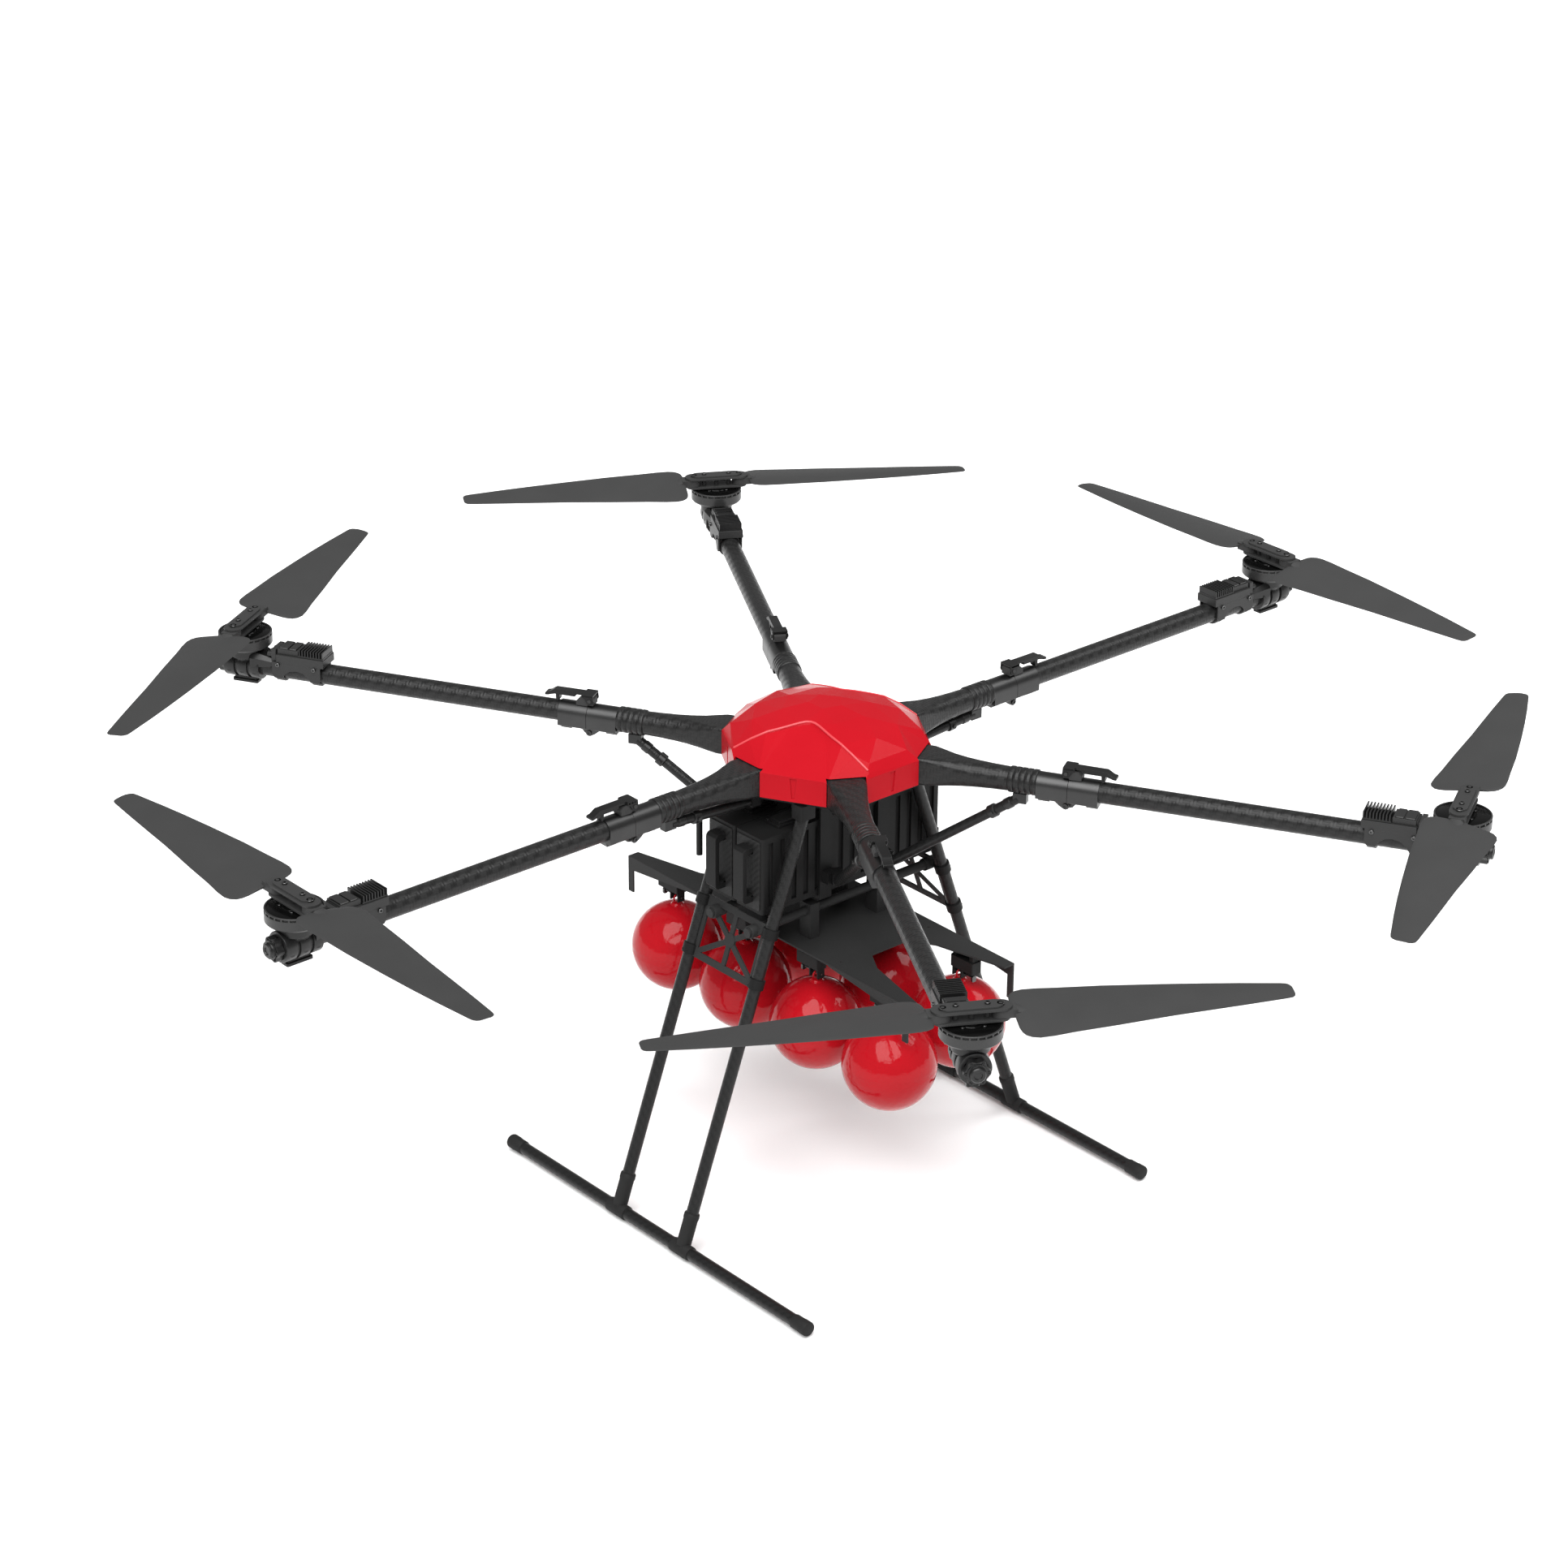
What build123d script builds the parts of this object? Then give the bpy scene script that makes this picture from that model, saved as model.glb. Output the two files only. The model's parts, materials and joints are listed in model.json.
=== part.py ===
from build123d import *
import os
from math import cos, radians, sin

# Folding six-arm multirotor that carries a rack of eight fire-extinguishing balls.
# Frame: millimetres, +Z up, origin on the ground under the centre, +Y along the skids.

os.makedirs("parts", exist_ok=True)

# ---- driving dimensions ----------------------------------------------------------------
FIT = 0.05                      # radial clearance of pins, shafts and clamped tubes
ARM_ANGLES = {1: 60, 2: 0, 3: -60, 4: -120, 5: 180, 6: 120}
MOTOR_R = 1000.0                # motor axis to the centre of the craft
ARM_Z = 743.0                   # height of the arm tubes' axis
TUBE_R, TUBE_WALL = 17.0, 2.0
SLEEVE_R = 19.0
HINGE_R, HINGE_Z = 393.0, 717.0  # arm folding axis
KNUCKLE_R, HINGE_PIN_R = 6.4, 3.0
SPLIT_R = 396.0                 # plane where the arm parts from its root
SLEEVE_R0, SLEEVE_R1 = 346.0, 445.0   # inner and outer ends of the two fold sleeves
FOOT_L, FOOT_H = 22.0, 7.0      # pointed feet under the sleeves
LATCH_R, LATCH_Z = 392.0, 771.0  # latch lever axis
BLADE_Z = 810.0                 # blade plane at the root
PIVOT_S, PIVOT_R = 40.0, 4.0    # blade pivots, from the rotor axis
ROOT_LOW, ROOT_HIGH = 805.8, 818.0   # underside and top of a blade's root block
BELL_R, BELL_TOP = 44.0, 799.0
SHAFT_R = 6.0
PLATE_LOW, PLATE_TOP = 717.0, 767.2   # undersides of the two centre plates
PLATE_T = 4.0
HOOD_R, SKIRT_Z, RIM_Z = 165.7, 723.0, 765.0
CORNER = 10.3                   # half angle of the hood's corner facets, at each arm
PACK_L, PACK_W, PACK_H, PACK_Z = 370.0, 64.0, 130.0, 538.0
LEG_Y, LEG_R = 80.0, 10.0
LEG_FOOT, LEG_TOP = (360.0, 13.0), (111.0, 707.0)   # leg axis ends, x and z
SKID_Y0, SKID_Y1, FOOT_R = -384.0, 362.0, 13.0
RACK_Y, RACK_Z, RACK_X, RACK_HALF, RACK_T = 18.0, 456.0, 112.0, 340.0, 3.0
ROD_Y, ROD_Z, ROD_R = 45.0, 505.0, 8.0
BALL_R, BALL_X, BALL_Z = 75.0, 87.6, 326.0
BALL_YS = (243.6, 70.9, -101.8, -274.5)
RING_Z, RING_R, RING_WIRE = 411.0, 7.0, 1.5
RELEASE_PIN_R = 1.5
PIN_Z = RING_Z + RING_R - RING_WIRE - RELEASE_PIN_R - 0.3
BOLT_R = 2.2                    # clearance holes for M4 screws


def save(part, name):
    """Write one finished piece under its node's name."""
    part.label = name
    export_step(part, f"parts/{name}.step")


def across(radius):
    """Section plane across an arm that lies along +X, sketched in Y and Z."""
    return Plane(origin=(radius, 0, ARM_Z), x_dir=(0, 1, 0), z_dir=(1, 0, 0))


def side(offset):
    """Plane of an arm's side view, sketched in X and Z, at this distance along -Y."""
    return Plane.XZ.offset(offset)


def facets(radius):
    """Corners of a six-sided plan with a short facet at each arm."""
    return [(radius * cos(radians(60 * k + a)), radius * sin(radians(60 * k + a)))
            for k in range(6) for a in (-CORNER, CORNER)]


def axis_plane(start, end, x_dir=(0, 1, 0)):
    """Plane across the line from start to end, and the line's length."""
    line = Vector(*end) - Vector(*start)
    return Plane(origin=start, x_dir=x_dir, z_dir=line.normalized()), line.length


# ---- hood -------------------------------------------------------------------------------
HOOD_RINGS = ((SKIRT_Z, HOOD_R), (RIM_Z, HOOD_R), (784, 151), (806, 115), (820, 68), (827, 26))
HOOD_WALL = 3.5


def shell(inset):
    """The hood's faceted solid, pulled in by an inset."""
    with BuildPart() as body:
        for z, radius in HOOD_RINGS:
            drop = 0 if z == SKIRT_Z else inset
            with BuildSketch(Plane.XY.offset(z - drop)):
                Polygon(*facets(radius - inset), align=None)
        loft(ruled=True)
    return body.part


HOOD_OUTER, HOOD_INNER = shell(0), shell(HOOD_WALL)
NOTCH_W, NOTCH_TOP = 62.0, 768.6

with BuildPart() as hood:
    add(HOOD_OUTER)
    add(HOOD_INNER, mode=Mode.SUBTRACT)
    for angle in ARM_ANGLES.values():
        with BuildSketch(Plane.YZ.rotated((0, 0, angle)).offset(60)):
            with Locations((0, (SKIRT_Z - 20 + NOTCH_TOP) / 2)):
                Rectangle(NOTCH_W, NOTCH_TOP - SKIRT_Z + 20)
        extrude(amount=140, mode=Mode.SUBTRACT)
        # two shallow upright grooves in the skirt panel between two arms
        for lean in (-4.5, 4.5):
            panel = Plane.YZ.rotated((0, 0, angle + 30 + lean)).offset(154.8)
            with BuildSketch(panel):
                with Locations((0, (SKIRT_Z + RIM_Z) / 2)):
                    Rectangle(3, RIM_Z - SKIRT_Z - 8)
            extrude(amount=6, mode=Mode.SUBTRACT)
save(hood.part, "hood")

# ---- centre plates ----------------------------------------------------------------------
LEG_CLAMP = (30.0, 26.0)
STRUT_SHOE = (141.0, 158.0)     # radial range of the shoes of the two flat struts

with BuildPart() as centre_plates:
    for z, radius in ((PLATE_LOW, 158), (PLATE_TOP, 147)):
        with BuildSketch(Plane.XY.offset(z)):
            Polygon(*facets(radius), align=None)
            with PolarLocations(82, 6, 30):
                RegularPolygon(24, 6, mode=Mode.SUBTRACT)
        extrude(amount=PLATE_T if z == PLATE_LOW else 3)
    # spacers between the plates, clear of the arm roots
    with BuildSketch(Plane.XY.offset(PLATE_LOW + PLATE_T)):
        with PolarLocations(124, 6, 30):
            Circle(6)
    extrude(amount=PLATE_TOP - PLATE_LOW - PLATE_T)
    for angle in (0, 180):
        with BuildSketch(Plane.XZ.rotated((0, 0, angle)).offset(-9)):
            with Locations(((STRUT_SHOE[0] + STRUT_SHOE[1]) / 2, 706)):
                Rectangle(STRUT_SHOE[1] - STRUT_SHOE[0], 22)
        extrude(amount=18)
save(centre_plates.part, "centre_plates")

# ---- flight electronics -----------------------------------------------------------------
DECK = PLATE_TOP + 3 + FIT
ANTENNA_XY, ANTENNA_Z = (-174.0, 100.0), (579.0, 668.0)
CLIP_Z, CLIP_H = 652.0, 10.0

with BuildPart() as flight_electronics:
    with BuildSketch(Plane.XY.offset(DECK)):
        RectangleRounded(92, 58, 5)
    extrude(amount=26)
    fillet(flight_electronics.edges().group_by(Axis.Z)[-1], 2)
    with BuildSketch(Plane.XY.offset(DECK)):
        with Locations((0, 62), (0, -62)):
            RectangleRounded(56, 34, 3)
    extrude(amount=14)
    # satellite receiver on a short mast over the controller
    with BuildSketch(Plane.XY.offset(DECK + 26)):
        Circle(22)
    extrude(amount=12)
    # radio aerial clipped to the outside of one leg
    with BuildSketch(Plane.XY.offset(ANTENNA_Z[0])):
        with Locations(ANTENNA_XY):
            Circle(5)
    extrude(amount=ANTENNA_Z[1] - ANTENNA_Z[0])
    with BuildSketch(Plane.XY.offset(CLIP_Z)):
        with BuildLine():
            Polyline((-178, 105), (-170, 105), (-118, 100), (-118, 90.3), (-140, 90.3), (-178, 96), close=True)
        make_face()
    extrude(amount=CLIP_H)
save(flight_electronics.part, "flight_electronics")

# ---- arm roots --------------------------------------------------------------------------
# Root sections: distance out, width, height, corner radius.
ROOT_SECTIONS = ((104, 60, 46, 6), (172, 60, 46, 6), (205, 50, 43, 13), (250, 42, 40, 18), (300, 38, 38, 18.9))
COLLAR_R0, COLLAR_R1, COLLAR_RAD = 300.0, 345.9, 20.5


def arm_root():
    """Carbon root that tapers from a flat box to a ringed round collar and a spigot."""
    with BuildPart() as root:
        for radius, width, height, corner in ROOT_SECTIONS:
            with BuildSketch(across(radius)):
                with Locations((0, 1 if radius < 200 else 0)):
                    RectangleRounded(width, height, corner)
        loft(ruled=True)
        with BuildSketch(across(COLLAR_R0)):
            Circle(COLLAR_RAD)
        extrude(amount=COLLAR_R1 - COLLAR_R0)
        for ring in (309, 318, 327, 336):
            with BuildSketch(across(ring)):
                Circle(COLLAR_RAD + 1)
                Circle(COLLAR_RAD - 1, mode=Mode.SUBTRACT)
            extrude(amount=2, mode=Mode.SUBTRACT)
        with BuildSketch(across(COLLAR_R1)):
            Circle(TUBE_R)
        extrude(amount=40)
    return root.part


ROOT = arm_root()
with BuildPart() as arm_roots:
    for angle in ARM_ANGLES.values():
        add(ROOT.rotate(Axis.Z, angle))
save(arm_roots.part, "arm_roots")


# ---- fold sleeves -----------------------------------------------------------------------
def sleeve_section(bore):
    """Round above, square below, with a round bore."""
    Circle(SLEEVE_R)
    with Locations((0, -SLEEVE_R / 2)):
        Rectangle(2 * SLEEVE_R, SLEEVE_R)
    Circle(bore, mode=Mode.SUBTRACT)


def inner_sleeve():
    """Sleeve on the arm root, with the two outer hinge ears and the pin."""
    with BuildPart() as sleeve:
        with BuildSketch(across(SLEEVE_R0)):
            sleeve_section(TUBE_R + FIT)
        extrude(amount=SPLIT_R - SLEEVE_R0)
        with BuildSketch(side(-8)):
            with Locations((SLEEVE_R0 + FOOT_L / 2, HINGE_Z + 4)):
                Rectangle(FOOT_L, FOOT_H)
        extrude(amount=16)
        for face in (-13, 7.3):
            with BuildSketch(side(face)):
                with BuildLine():
                    Polyline((372, 725), (395, 725), (399, HINGE_Z), (393, HINGE_Z - KNUCKLE_R),
                             (386, HINGE_Z - 3), close=True)
                make_face()
                with Locations((HINGE_R, HINGE_Z)):
                    Circle(KNUCKLE_R)
            extrude(amount=5.7)
        with BuildSketch(side(-14.5)):
            with Locations((HINGE_R, HINGE_Z)):
                Circle(HINGE_PIN_R)
        extrude(amount=29)
    return sleeve.part


SLEEVE = inner_sleeve()
with BuildPart() as fold_sleeves:
    for angle in ARM_ANGLES.values():
        add(SLEEVE.rotate(Axis.Z, angle))
save(fold_sleeves.part, "fold_sleeves")

# ---- arm struts -------------------------------------------------------------------------
STRUT_R = 8.0
STRUT_FOOT = 112.1              # where the slanting struts meet the battery cage
STRUT_SHOE_Z = 702.0
STRUT_TOP = (318.0, 714.0)      # where every strut meets its arm, out and up


def strut(end_r, end_z, cut_r):
    """Round strut from under the collar to the frame, with a cross fitting near its top."""
    plane, length = axis_plane((STRUT_TOP[0], 0, STRUT_TOP[1]), (end_r, 0, end_z))
    with BuildPart() as tube:
        with BuildSketch(plane):
            Circle(STRUT_R)
        extrude(amount=length)
        with BuildSketch(plane.offset(46)):
            Circle(STRUT_R + 3)
        extrude(amount=14)
        with BuildSketch(side(-7)):
            with Locations(STRUT_TOP):
                Rectangle(24, 16.8)
        extrude(amount=14)
        with BuildSketch(Plane.YZ.offset(cut_r)):
            with Locations((0, 650)):
                Rectangle(60, 300)
        extrude(amount=-80, mode=Mode.SUBTRACT)
    return tube.part


SLANT = strut(104, 563, STRUT_FOOT)
FLAT = strut(150, STRUT_SHOE_Z, STRUT_SHOE[1] + FIT)
with BuildPart() as arm_struts:
    for number, angle in ARM_ANGLES.items():
        add((FLAT if number in (2, 5) else SLANT).rotate(Axis.Z, angle))
save(arm_struts.part, "arm_struts")

# ---- battery cage -----------------------------------------------------------------------
HANGER_X, HANGER_Y, RAIL_T = 60.0, 67.5, 6.0
RAIL_TOP = PACK_Z - 0.4
LUG_Z, LUG_H = 561.0, 20.0      # lugs that take the feet of the slanting struts

with BuildPart() as battery_rails:
    with BuildSketch(Plane.XY.offset(RAIL_TOP - RAIL_T)):
        with Locations((0, 33), (0, -33)):
            Rectangle(320, 20)
        with Locations((HANGER_X, 0), (-HANGER_X, 0)):
            Rectangle(24, 2 * (HANGER_Y + 4))
    extrude(amount=RAIL_T)
    for x in (-HANGER_X, HANGER_X):
        for y in (-HANGER_Y - 4, HANGER_Y):
            with BuildSketch(Plane.XY.offset(RAIL_TOP - RAIL_T)):
                with Locations((x, y + 2)):
                    Rectangle(24, 4)
            extrude(amount=PLATE_LOW - FIT - RAIL_TOP + RAIL_T)
    # stop against which the packs plug in
    with BuildSketch(Plane.XY.offset(RAIL_TOP - RAIL_T)):
        with Locations((PACK_L / 2 + 3, 0)):
            Rectangle(4, 120)
        with Locations((PACK_L / 2 - 12, 33), (PACK_L / 2 - 12, -33)):
            Rectangle(30, 20)
    extrude(amount=RAIL_T)
    with BuildSketch(Plane.XY.offset(RAIL_TOP)):
        with Locations((PACK_L / 2 + 3, 0)):
            Rectangle(4, 120)
    extrude(amount=34)
    for angle in (60, 120, -60, -120):
        reach = Plane.XY.offset(LUG_Z).rotated((0, 0, angle))
        with BuildSketch(reach):
            with Locations((99, 0)):
                Rectangle(25.8, 18)
        extrude(amount=LUG_H)
        step = 1 if abs(angle) == 60 else -1
        out = 1 if angle > 0 else -1
        with BuildSketch(Plane.XY.offset(LUG_Z)):
            with Locations((step * 57, out * 76)):
                Rectangle(20, 17)
        extrude(amount=LUG_H)
save(battery_rails.part, "battery_rails")


# ---- battery packs ----------------------------------------------------------------------
GRIP_X, GRIP_Y, GRIP_Z = 22.0, 24.0, (556.0, 650.0)


def battery_pack(sign):
    """Long pack with upright ribs on its outer side and an upright grip on its end."""
    middle = sign * (1 + PACK_W / 2)
    with BuildPart() as pack:
        with BuildSketch(Plane.XY.offset(PACK_Z)):
            with Locations((0, middle)):
                RectangleRounded(PACK_L, PACK_W, 5)
        extrude(amount=PACK_H)
        fillet(pack.edges().group_by(Axis.Z)[-1], 2)
        # hollows between the ribs of the outer side
        outer = sign * (1 + PACK_W)
        with BuildSketch(Plane.XY.offset(PACK_Z + 14)):
            with Locations((0, outer)):
                with GridLocations(24, 1, 13, 1):
                    Rectangle(9, 5)
        extrude(amount=PACK_H - 28, mode=Mode.SUBTRACT)
        # upright grip on the free end
        with BuildSketch(Plane.XZ.offset(-middle - GRIP_Y / 2)):
            with Locations((-PACK_L / 2 - GRIP_X / 2, sum(GRIP_Z) / 2)):
                Rectangle(GRIP_X, GRIP_Z[1] - GRIP_Z[0])
            with Locations((-PACK_L / 2 - 7, sum(GRIP_Z) / 2)):
                Rectangle(14, GRIP_Z[1] - GRIP_Z[0] - 24, mode=Mode.SUBTRACT)
        extrude(amount=GRIP_Y)
        # plug housing on the top, near the free end
        with BuildSketch(Plane.XY.offset(PACK_Z + PACK_H)):
            with Locations((-112, middle)):
                RectangleRounded(56, 34, 4)
        extrude(amount=9)
    return pack.part


save(battery_pack(1), "battery_left")
save(battery_pack(-1), "battery_right")

# ---- landing legs -----------------------------------------------------------------------
LEAN = (LEG_FOOT[0] - LEG_TOP[0]) / (LEG_TOP[1] - LEG_FOOT[1])
TRUSS_Z0, TRUSS_Z1, TRUSS_T = 424.0, 522.0, 4.0
CLAMP_LOW = 692.0               # underside of the clamps at the legs' tops


def leg_x(z):
    """How far out a leg's axis is at this height."""
    return LEG_FOOT[0] - LEAN * (z - LEG_FOOT[1])


def leg_point(side_x, y, z):
    return (side_x * leg_x(z), y, z)


TEE_TOP = 86.0                  # top of the foot sockets

with BuildPart() as landing_legs:
    for side_x in (-1, 1):
        for y in (-LEG_Y, LEG_Y):
            plane, length = axis_plane(leg_point(side_x, y, 36), leg_point(side_x, y, 706))
            with BuildSketch(plane):
                Circle(LEG_R)
            extrude(amount=length)
            with BuildSketch(Plane.XY.offset(CLAMP_LOW)):
                with Locations((side_x * (leg_x(704) + 3), y)):
                    RectangleRounded(*LEG_CLAMP, 4)
            extrude(amount=PLATE_LOW - FIT - CLAMP_LOW)
            # clamp rings that hold the truss
            for z in (TRUSS_Z0 + 10, TRUSS_Z1 - 10):
                ring, _ = axis_plane(leg_point(side_x, y, z - 8), leg_point(side_x, y, z))
                with BuildSketch(ring):
                    Circle(LEG_R + 3)
                extrude(amount=16)
        # star-shaped truss between the two legs
        low, high = leg_point(side_x, 0, TRUSS_Z0), leg_point(side_x, 0, TRUSS_Z1)
        rise = (Vector(*high) - Vector(*low)).normalized()
        centre = (Vector(*low) + Vector(*high)) * 0.5
        height = (Vector(*high) - Vector(*low)).length
        truss = Plane(origin=centre, x_dir=(0, 1, 0), z_dir=Vector(0, 1, 0).cross(rise))
        width = 2 * LEG_Y
        with BuildSketch(truss.offset(-TRUSS_T / 2)):
            Rectangle(width, height)
            Rectangle(width - 34, height - 22, mode=Mode.SUBTRACT)
            Circle(11)
            for turn in (33, -33, 90):
                Rectangle(1.02 * width if abs(turn) == 33 else height, 9, rotation=turn)
        extrude(amount=TRUSS_T)
        # bushes for the two rods that carry the rack
        bush_x = side_x * leg_x(ROD_Z)
        with BuildSketch(Plane.YZ.offset(bush_x - 12)):
            with Locations((-ROD_Y, ROD_Z), (ROD_Y, ROD_Z)):
                Circle(ROD_R + 4.5)
        extrude(amount=24)
        with BuildSketch(Plane.YZ.offset(bush_x - 30)):
            with Locations((-ROD_Y, ROD_Z), (ROD_Y, ROD_Z)):
                Circle(ROD_R + FIT)
        extrude(amount=60, mode=Mode.SUBTRACT)
save(landing_legs.part, "landing_legs")

# ---- skids ------------------------------------------------------------------------------
CAP_L = 34.0

with BuildPart() as landing_skids:
    with BuildSketch(Plane.XZ.offset(-SKID_Y1 + 4)):
        with Locations((-LEG_FOOT[0], FOOT_R), (LEG_FOOT[0], FOOT_R)):
            Circle(LEG_R)
            Circle(LEG_R - 2, mode=Mode.SUBTRACT)
    extrude(amount=SKID_Y1 - SKID_Y0 - 8)
save(landing_skids.part, "landing_skids")

with BuildPart() as skid_fittings:
    for side_x in (-1, 1):
        for y in (-LEG_Y, LEG_Y):
            with BuildSketch(Plane.XZ.offset(-y - 22)):
                with Locations((side_x * LEG_FOOT[0], FOOT_R)):
                    Circle(FOOT_R)
            extrude(amount=44)
            plane, length = axis_plane(leg_point(side_x, y, 20), leg_point(side_x, y, TEE_TOP))
            with BuildSketch(plane):
                Circle(FOOT_R)
            extrude(amount=length)
            bore, run = axis_plane(leg_point(side_x, y, 35.9), leg_point(side_x, y, TEE_TOP + 5))
            with BuildSketch(bore):
                Circle(LEG_R + FIT)
            extrude(amount=run, mode=Mode.SUBTRACT)
        for y in (SKID_Y1, SKID_Y0 + CAP_L):
            with BuildSketch(Plane.XZ.offset(-y)):
                with Locations((side_x * LEG_FOOT[0], FOOT_R)):
                    Circle(FOOT_R)
            extrude(amount=CAP_L)
    with BuildSketch(Plane.XZ.offset(-SKID_Y1 + 4 - FIT)):
        with Locations((-LEG_FOOT[0], FOOT_R), (LEG_FOOT[0], FOOT_R)):
            Circle(LEG_R + FIT)
    extrude(amount=SKID_Y1 - SKID_Y0 - 8 + 2 * FIT, mode=Mode.SUBTRACT)
save(skid_fittings.part, "skid_fittings")

# ---- payload rack -----------------------------------------------------------------------
FLANGE_H, POST_H, POST_W = 20.0, 60.0, 12.0
RACK_TOP = RACK_Z + RACK_T
CLAMP_X = 70.0
MOUNT_X, MOUNT_Y = 92.0, 164.0  # four free M4 holes

with BuildPart() as payload_rack:
    with BuildSketch(Plane.XY.offset(RACK_Z)):
        with Locations((0, RACK_Y)):
            Rectangle(2 * RACK_X, 2 * RACK_HALF)
        for end in (-1, 1):
            with BuildLine():
                Polyline(*[(x, RACK_Y + end * y) for x, y in
                           ((-38, 175), (38, 175), (62, 215), (92, 342), (-92, 342), (-62, 215))], close=True)
            make_face(mode=Mode.SUBTRACT)
        with Locations((0, RACK_Y)):
            with GridLocations(2 * MOUNT_X, 2 * MOUNT_Y, 2, 2):
                Circle(BOLT_R, mode=Mode.SUBTRACT)
    extrude(amount=RACK_T)
    for side_x in (-1, 1):
        # flange that deepens towards both tips, with a post at each tip
        for end in (-1, 1):
            with BuildSketch(Plane.YZ.offset(side_x * RACK_X - (3 if side_x > 0 else 0))):
                with BuildLine():
                    Polyline(*[(RACK_Y + end * y, z) for y, z in
                               ((156, RACK_TOP), (RACK_HALF, RACK_TOP), (RACK_HALF, RACK_Z - POST_H),
                                (RACK_HALF - POST_W, RACK_Z - POST_H),
                                (RACK_HALF - POST_W, RACK_Z - FLANGE_H), (156, RACK_Z - 1))], close=True)
                make_face()
            extrude(amount=3)
    # saddles that hang the plate from the two rods
    with BuildSketch(Plane.XY.offset(RACK_TOP)):
        with GridLocations(2 * CLAMP_X, 2 * ROD_Y, 2, 2):
            Rectangle(18, 26)
    extrude(amount=ROD_Z + 14 - RACK_TOP)
    with BuildSketch(Plane.YZ.offset(-leg_x(ROD_Z) - 16)):
        with Locations((-ROD_Y, ROD_Z), (ROD_Y, ROD_Z)):
            Circle(ROD_R)
    extrude(amount=2 * leg_x(ROD_Z) + 32)
save(payload_rack.part, "payload_rack")


# ---- release units and balls ------------------------------------------------------------
# A ring hangs on a cross pin between two cheeks, under a small servo.
CHEEK_Y0, CHEEK_Y1, CHEEK_LOW = 8.0, 10.5, 408.0
SERVO_Z0, SERVO_Z1 = 424.0, 444.0
PIN_BACK, PIN_FRONT = -11.5, 30.0


def release_unit():
    """Servo, its two posts up to the plate and the cheeks that guide the pin."""
    with BuildPart() as unit:
        with BuildSketch(Plane.XY.offset(SERVO_Z0)):
            with Locations((0, 13)):
                RectangleRounded(20, 50, 2)
        extrude(amount=SERVO_Z1 - SERVO_Z0)
        with BuildSketch(Plane.XY.offset(SERVO_Z1)):
            with Locations((0, -6), (0, 32)):
                Rectangle(14, 8)
        extrude(amount=RACK_Z - FIT - SERVO_Z1)
        for y in (-CHEEK_Y1, CHEEK_Y0):
            with BuildSketch(Plane.XY.offset(CHEEK_LOW)):
                with Locations((0, y + (CHEEK_Y1 - CHEEK_Y0) / 2)):
                    Rectangle(14, CHEEK_Y1 - CHEEK_Y0)
            extrude(amount=SERVO_Z0 - CHEEK_LOW)
        with BuildSketch(Plane.XZ.offset(-40)):
            with Locations((0, PIN_Z)):
                Circle(RELEASE_PIN_R + FIT)
        extrude(amount=80, mode=Mode.SUBTRACT)
    return unit.part


def release_pin():
    """Cross pin with a flat pull tab on its outer end."""
    with BuildPart() as pin:
        with BuildSketch(Plane.XZ.offset(-PIN_FRONT)):
            with Locations((0, PIN_Z)):
                Circle(RELEASE_PIN_R)
        extrude(amount=PIN_FRONT - PIN_BACK)
        with BuildSketch(Plane.XZ.offset(-PIN_FRONT - 3)):
            with Locations((0, PIN_Z - 1.5)):
                RectangleRounded(8, 10, 2)
        extrude(amount=4)
    return pin.part


def ball():
    """Ball with a neck boss and a hanging ring."""
    with BuildPart() as body:
        with Locations((0, 0, BALL_Z)):
            Sphere(BALL_R)
        with BuildSketch(Plane.XY.offset(BALL_Z + BALL_R - 2)):
            Circle(9)
        extrude(amount=4.2)
        with BuildSketch(Plane.XY.offset(RING_Z)):
            with Locations((RING_R, 0)):
                Circle(RING_WIRE)
        revolve(axis=Axis((0, 0, RING_Z), (0, 1, 0)))
    return body.part


UNIT, PIN, BALL = release_unit(), release_pin(), ball()
PLACES = [(-BALL_X, y) for y in BALL_YS] + [(BALL_X, -y) for y in BALL_YS]


def placed(part, number):
    """Put a release part at its ball's place; the +X row faces the other way."""
    x, y = PLACES[number - 1]
    turned = part if x < 0 else part.rotate(Axis.Z, 180)
    return turned.moved(Location((x, y + RACK_Y, 0)))


with BuildPart() as release_servos:
    for number in range(1, 9):
        add(placed(UNIT, number))
save(release_servos.part, "release_servos")

for number in range(1, 9):
    save(placed(PIN, number), f"release_pin_{number}")
    save(placed(BALL, number), f"ball_{number}")


# ---- arms -------------------------------------------------------------------------------
CLAMP_R, CLAMP_R0, CLAMP_R1 = 24.0, 968.0, 1032.0
SEAT_TOP, STATOR_R, STATOR_TOP = 776.0, 36.0, 791.0
ESC_R0, ESC_R1, ESC_TOP = 852.0, 950.0, 787.0
ESC_LOW = ARM_Z + TUBE_R + 0.4
LAMP_Z, LAMP_H = 711.0, 12.0
SHAFT_LOW = 767.0               # lower end of the motor's shaft


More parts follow.
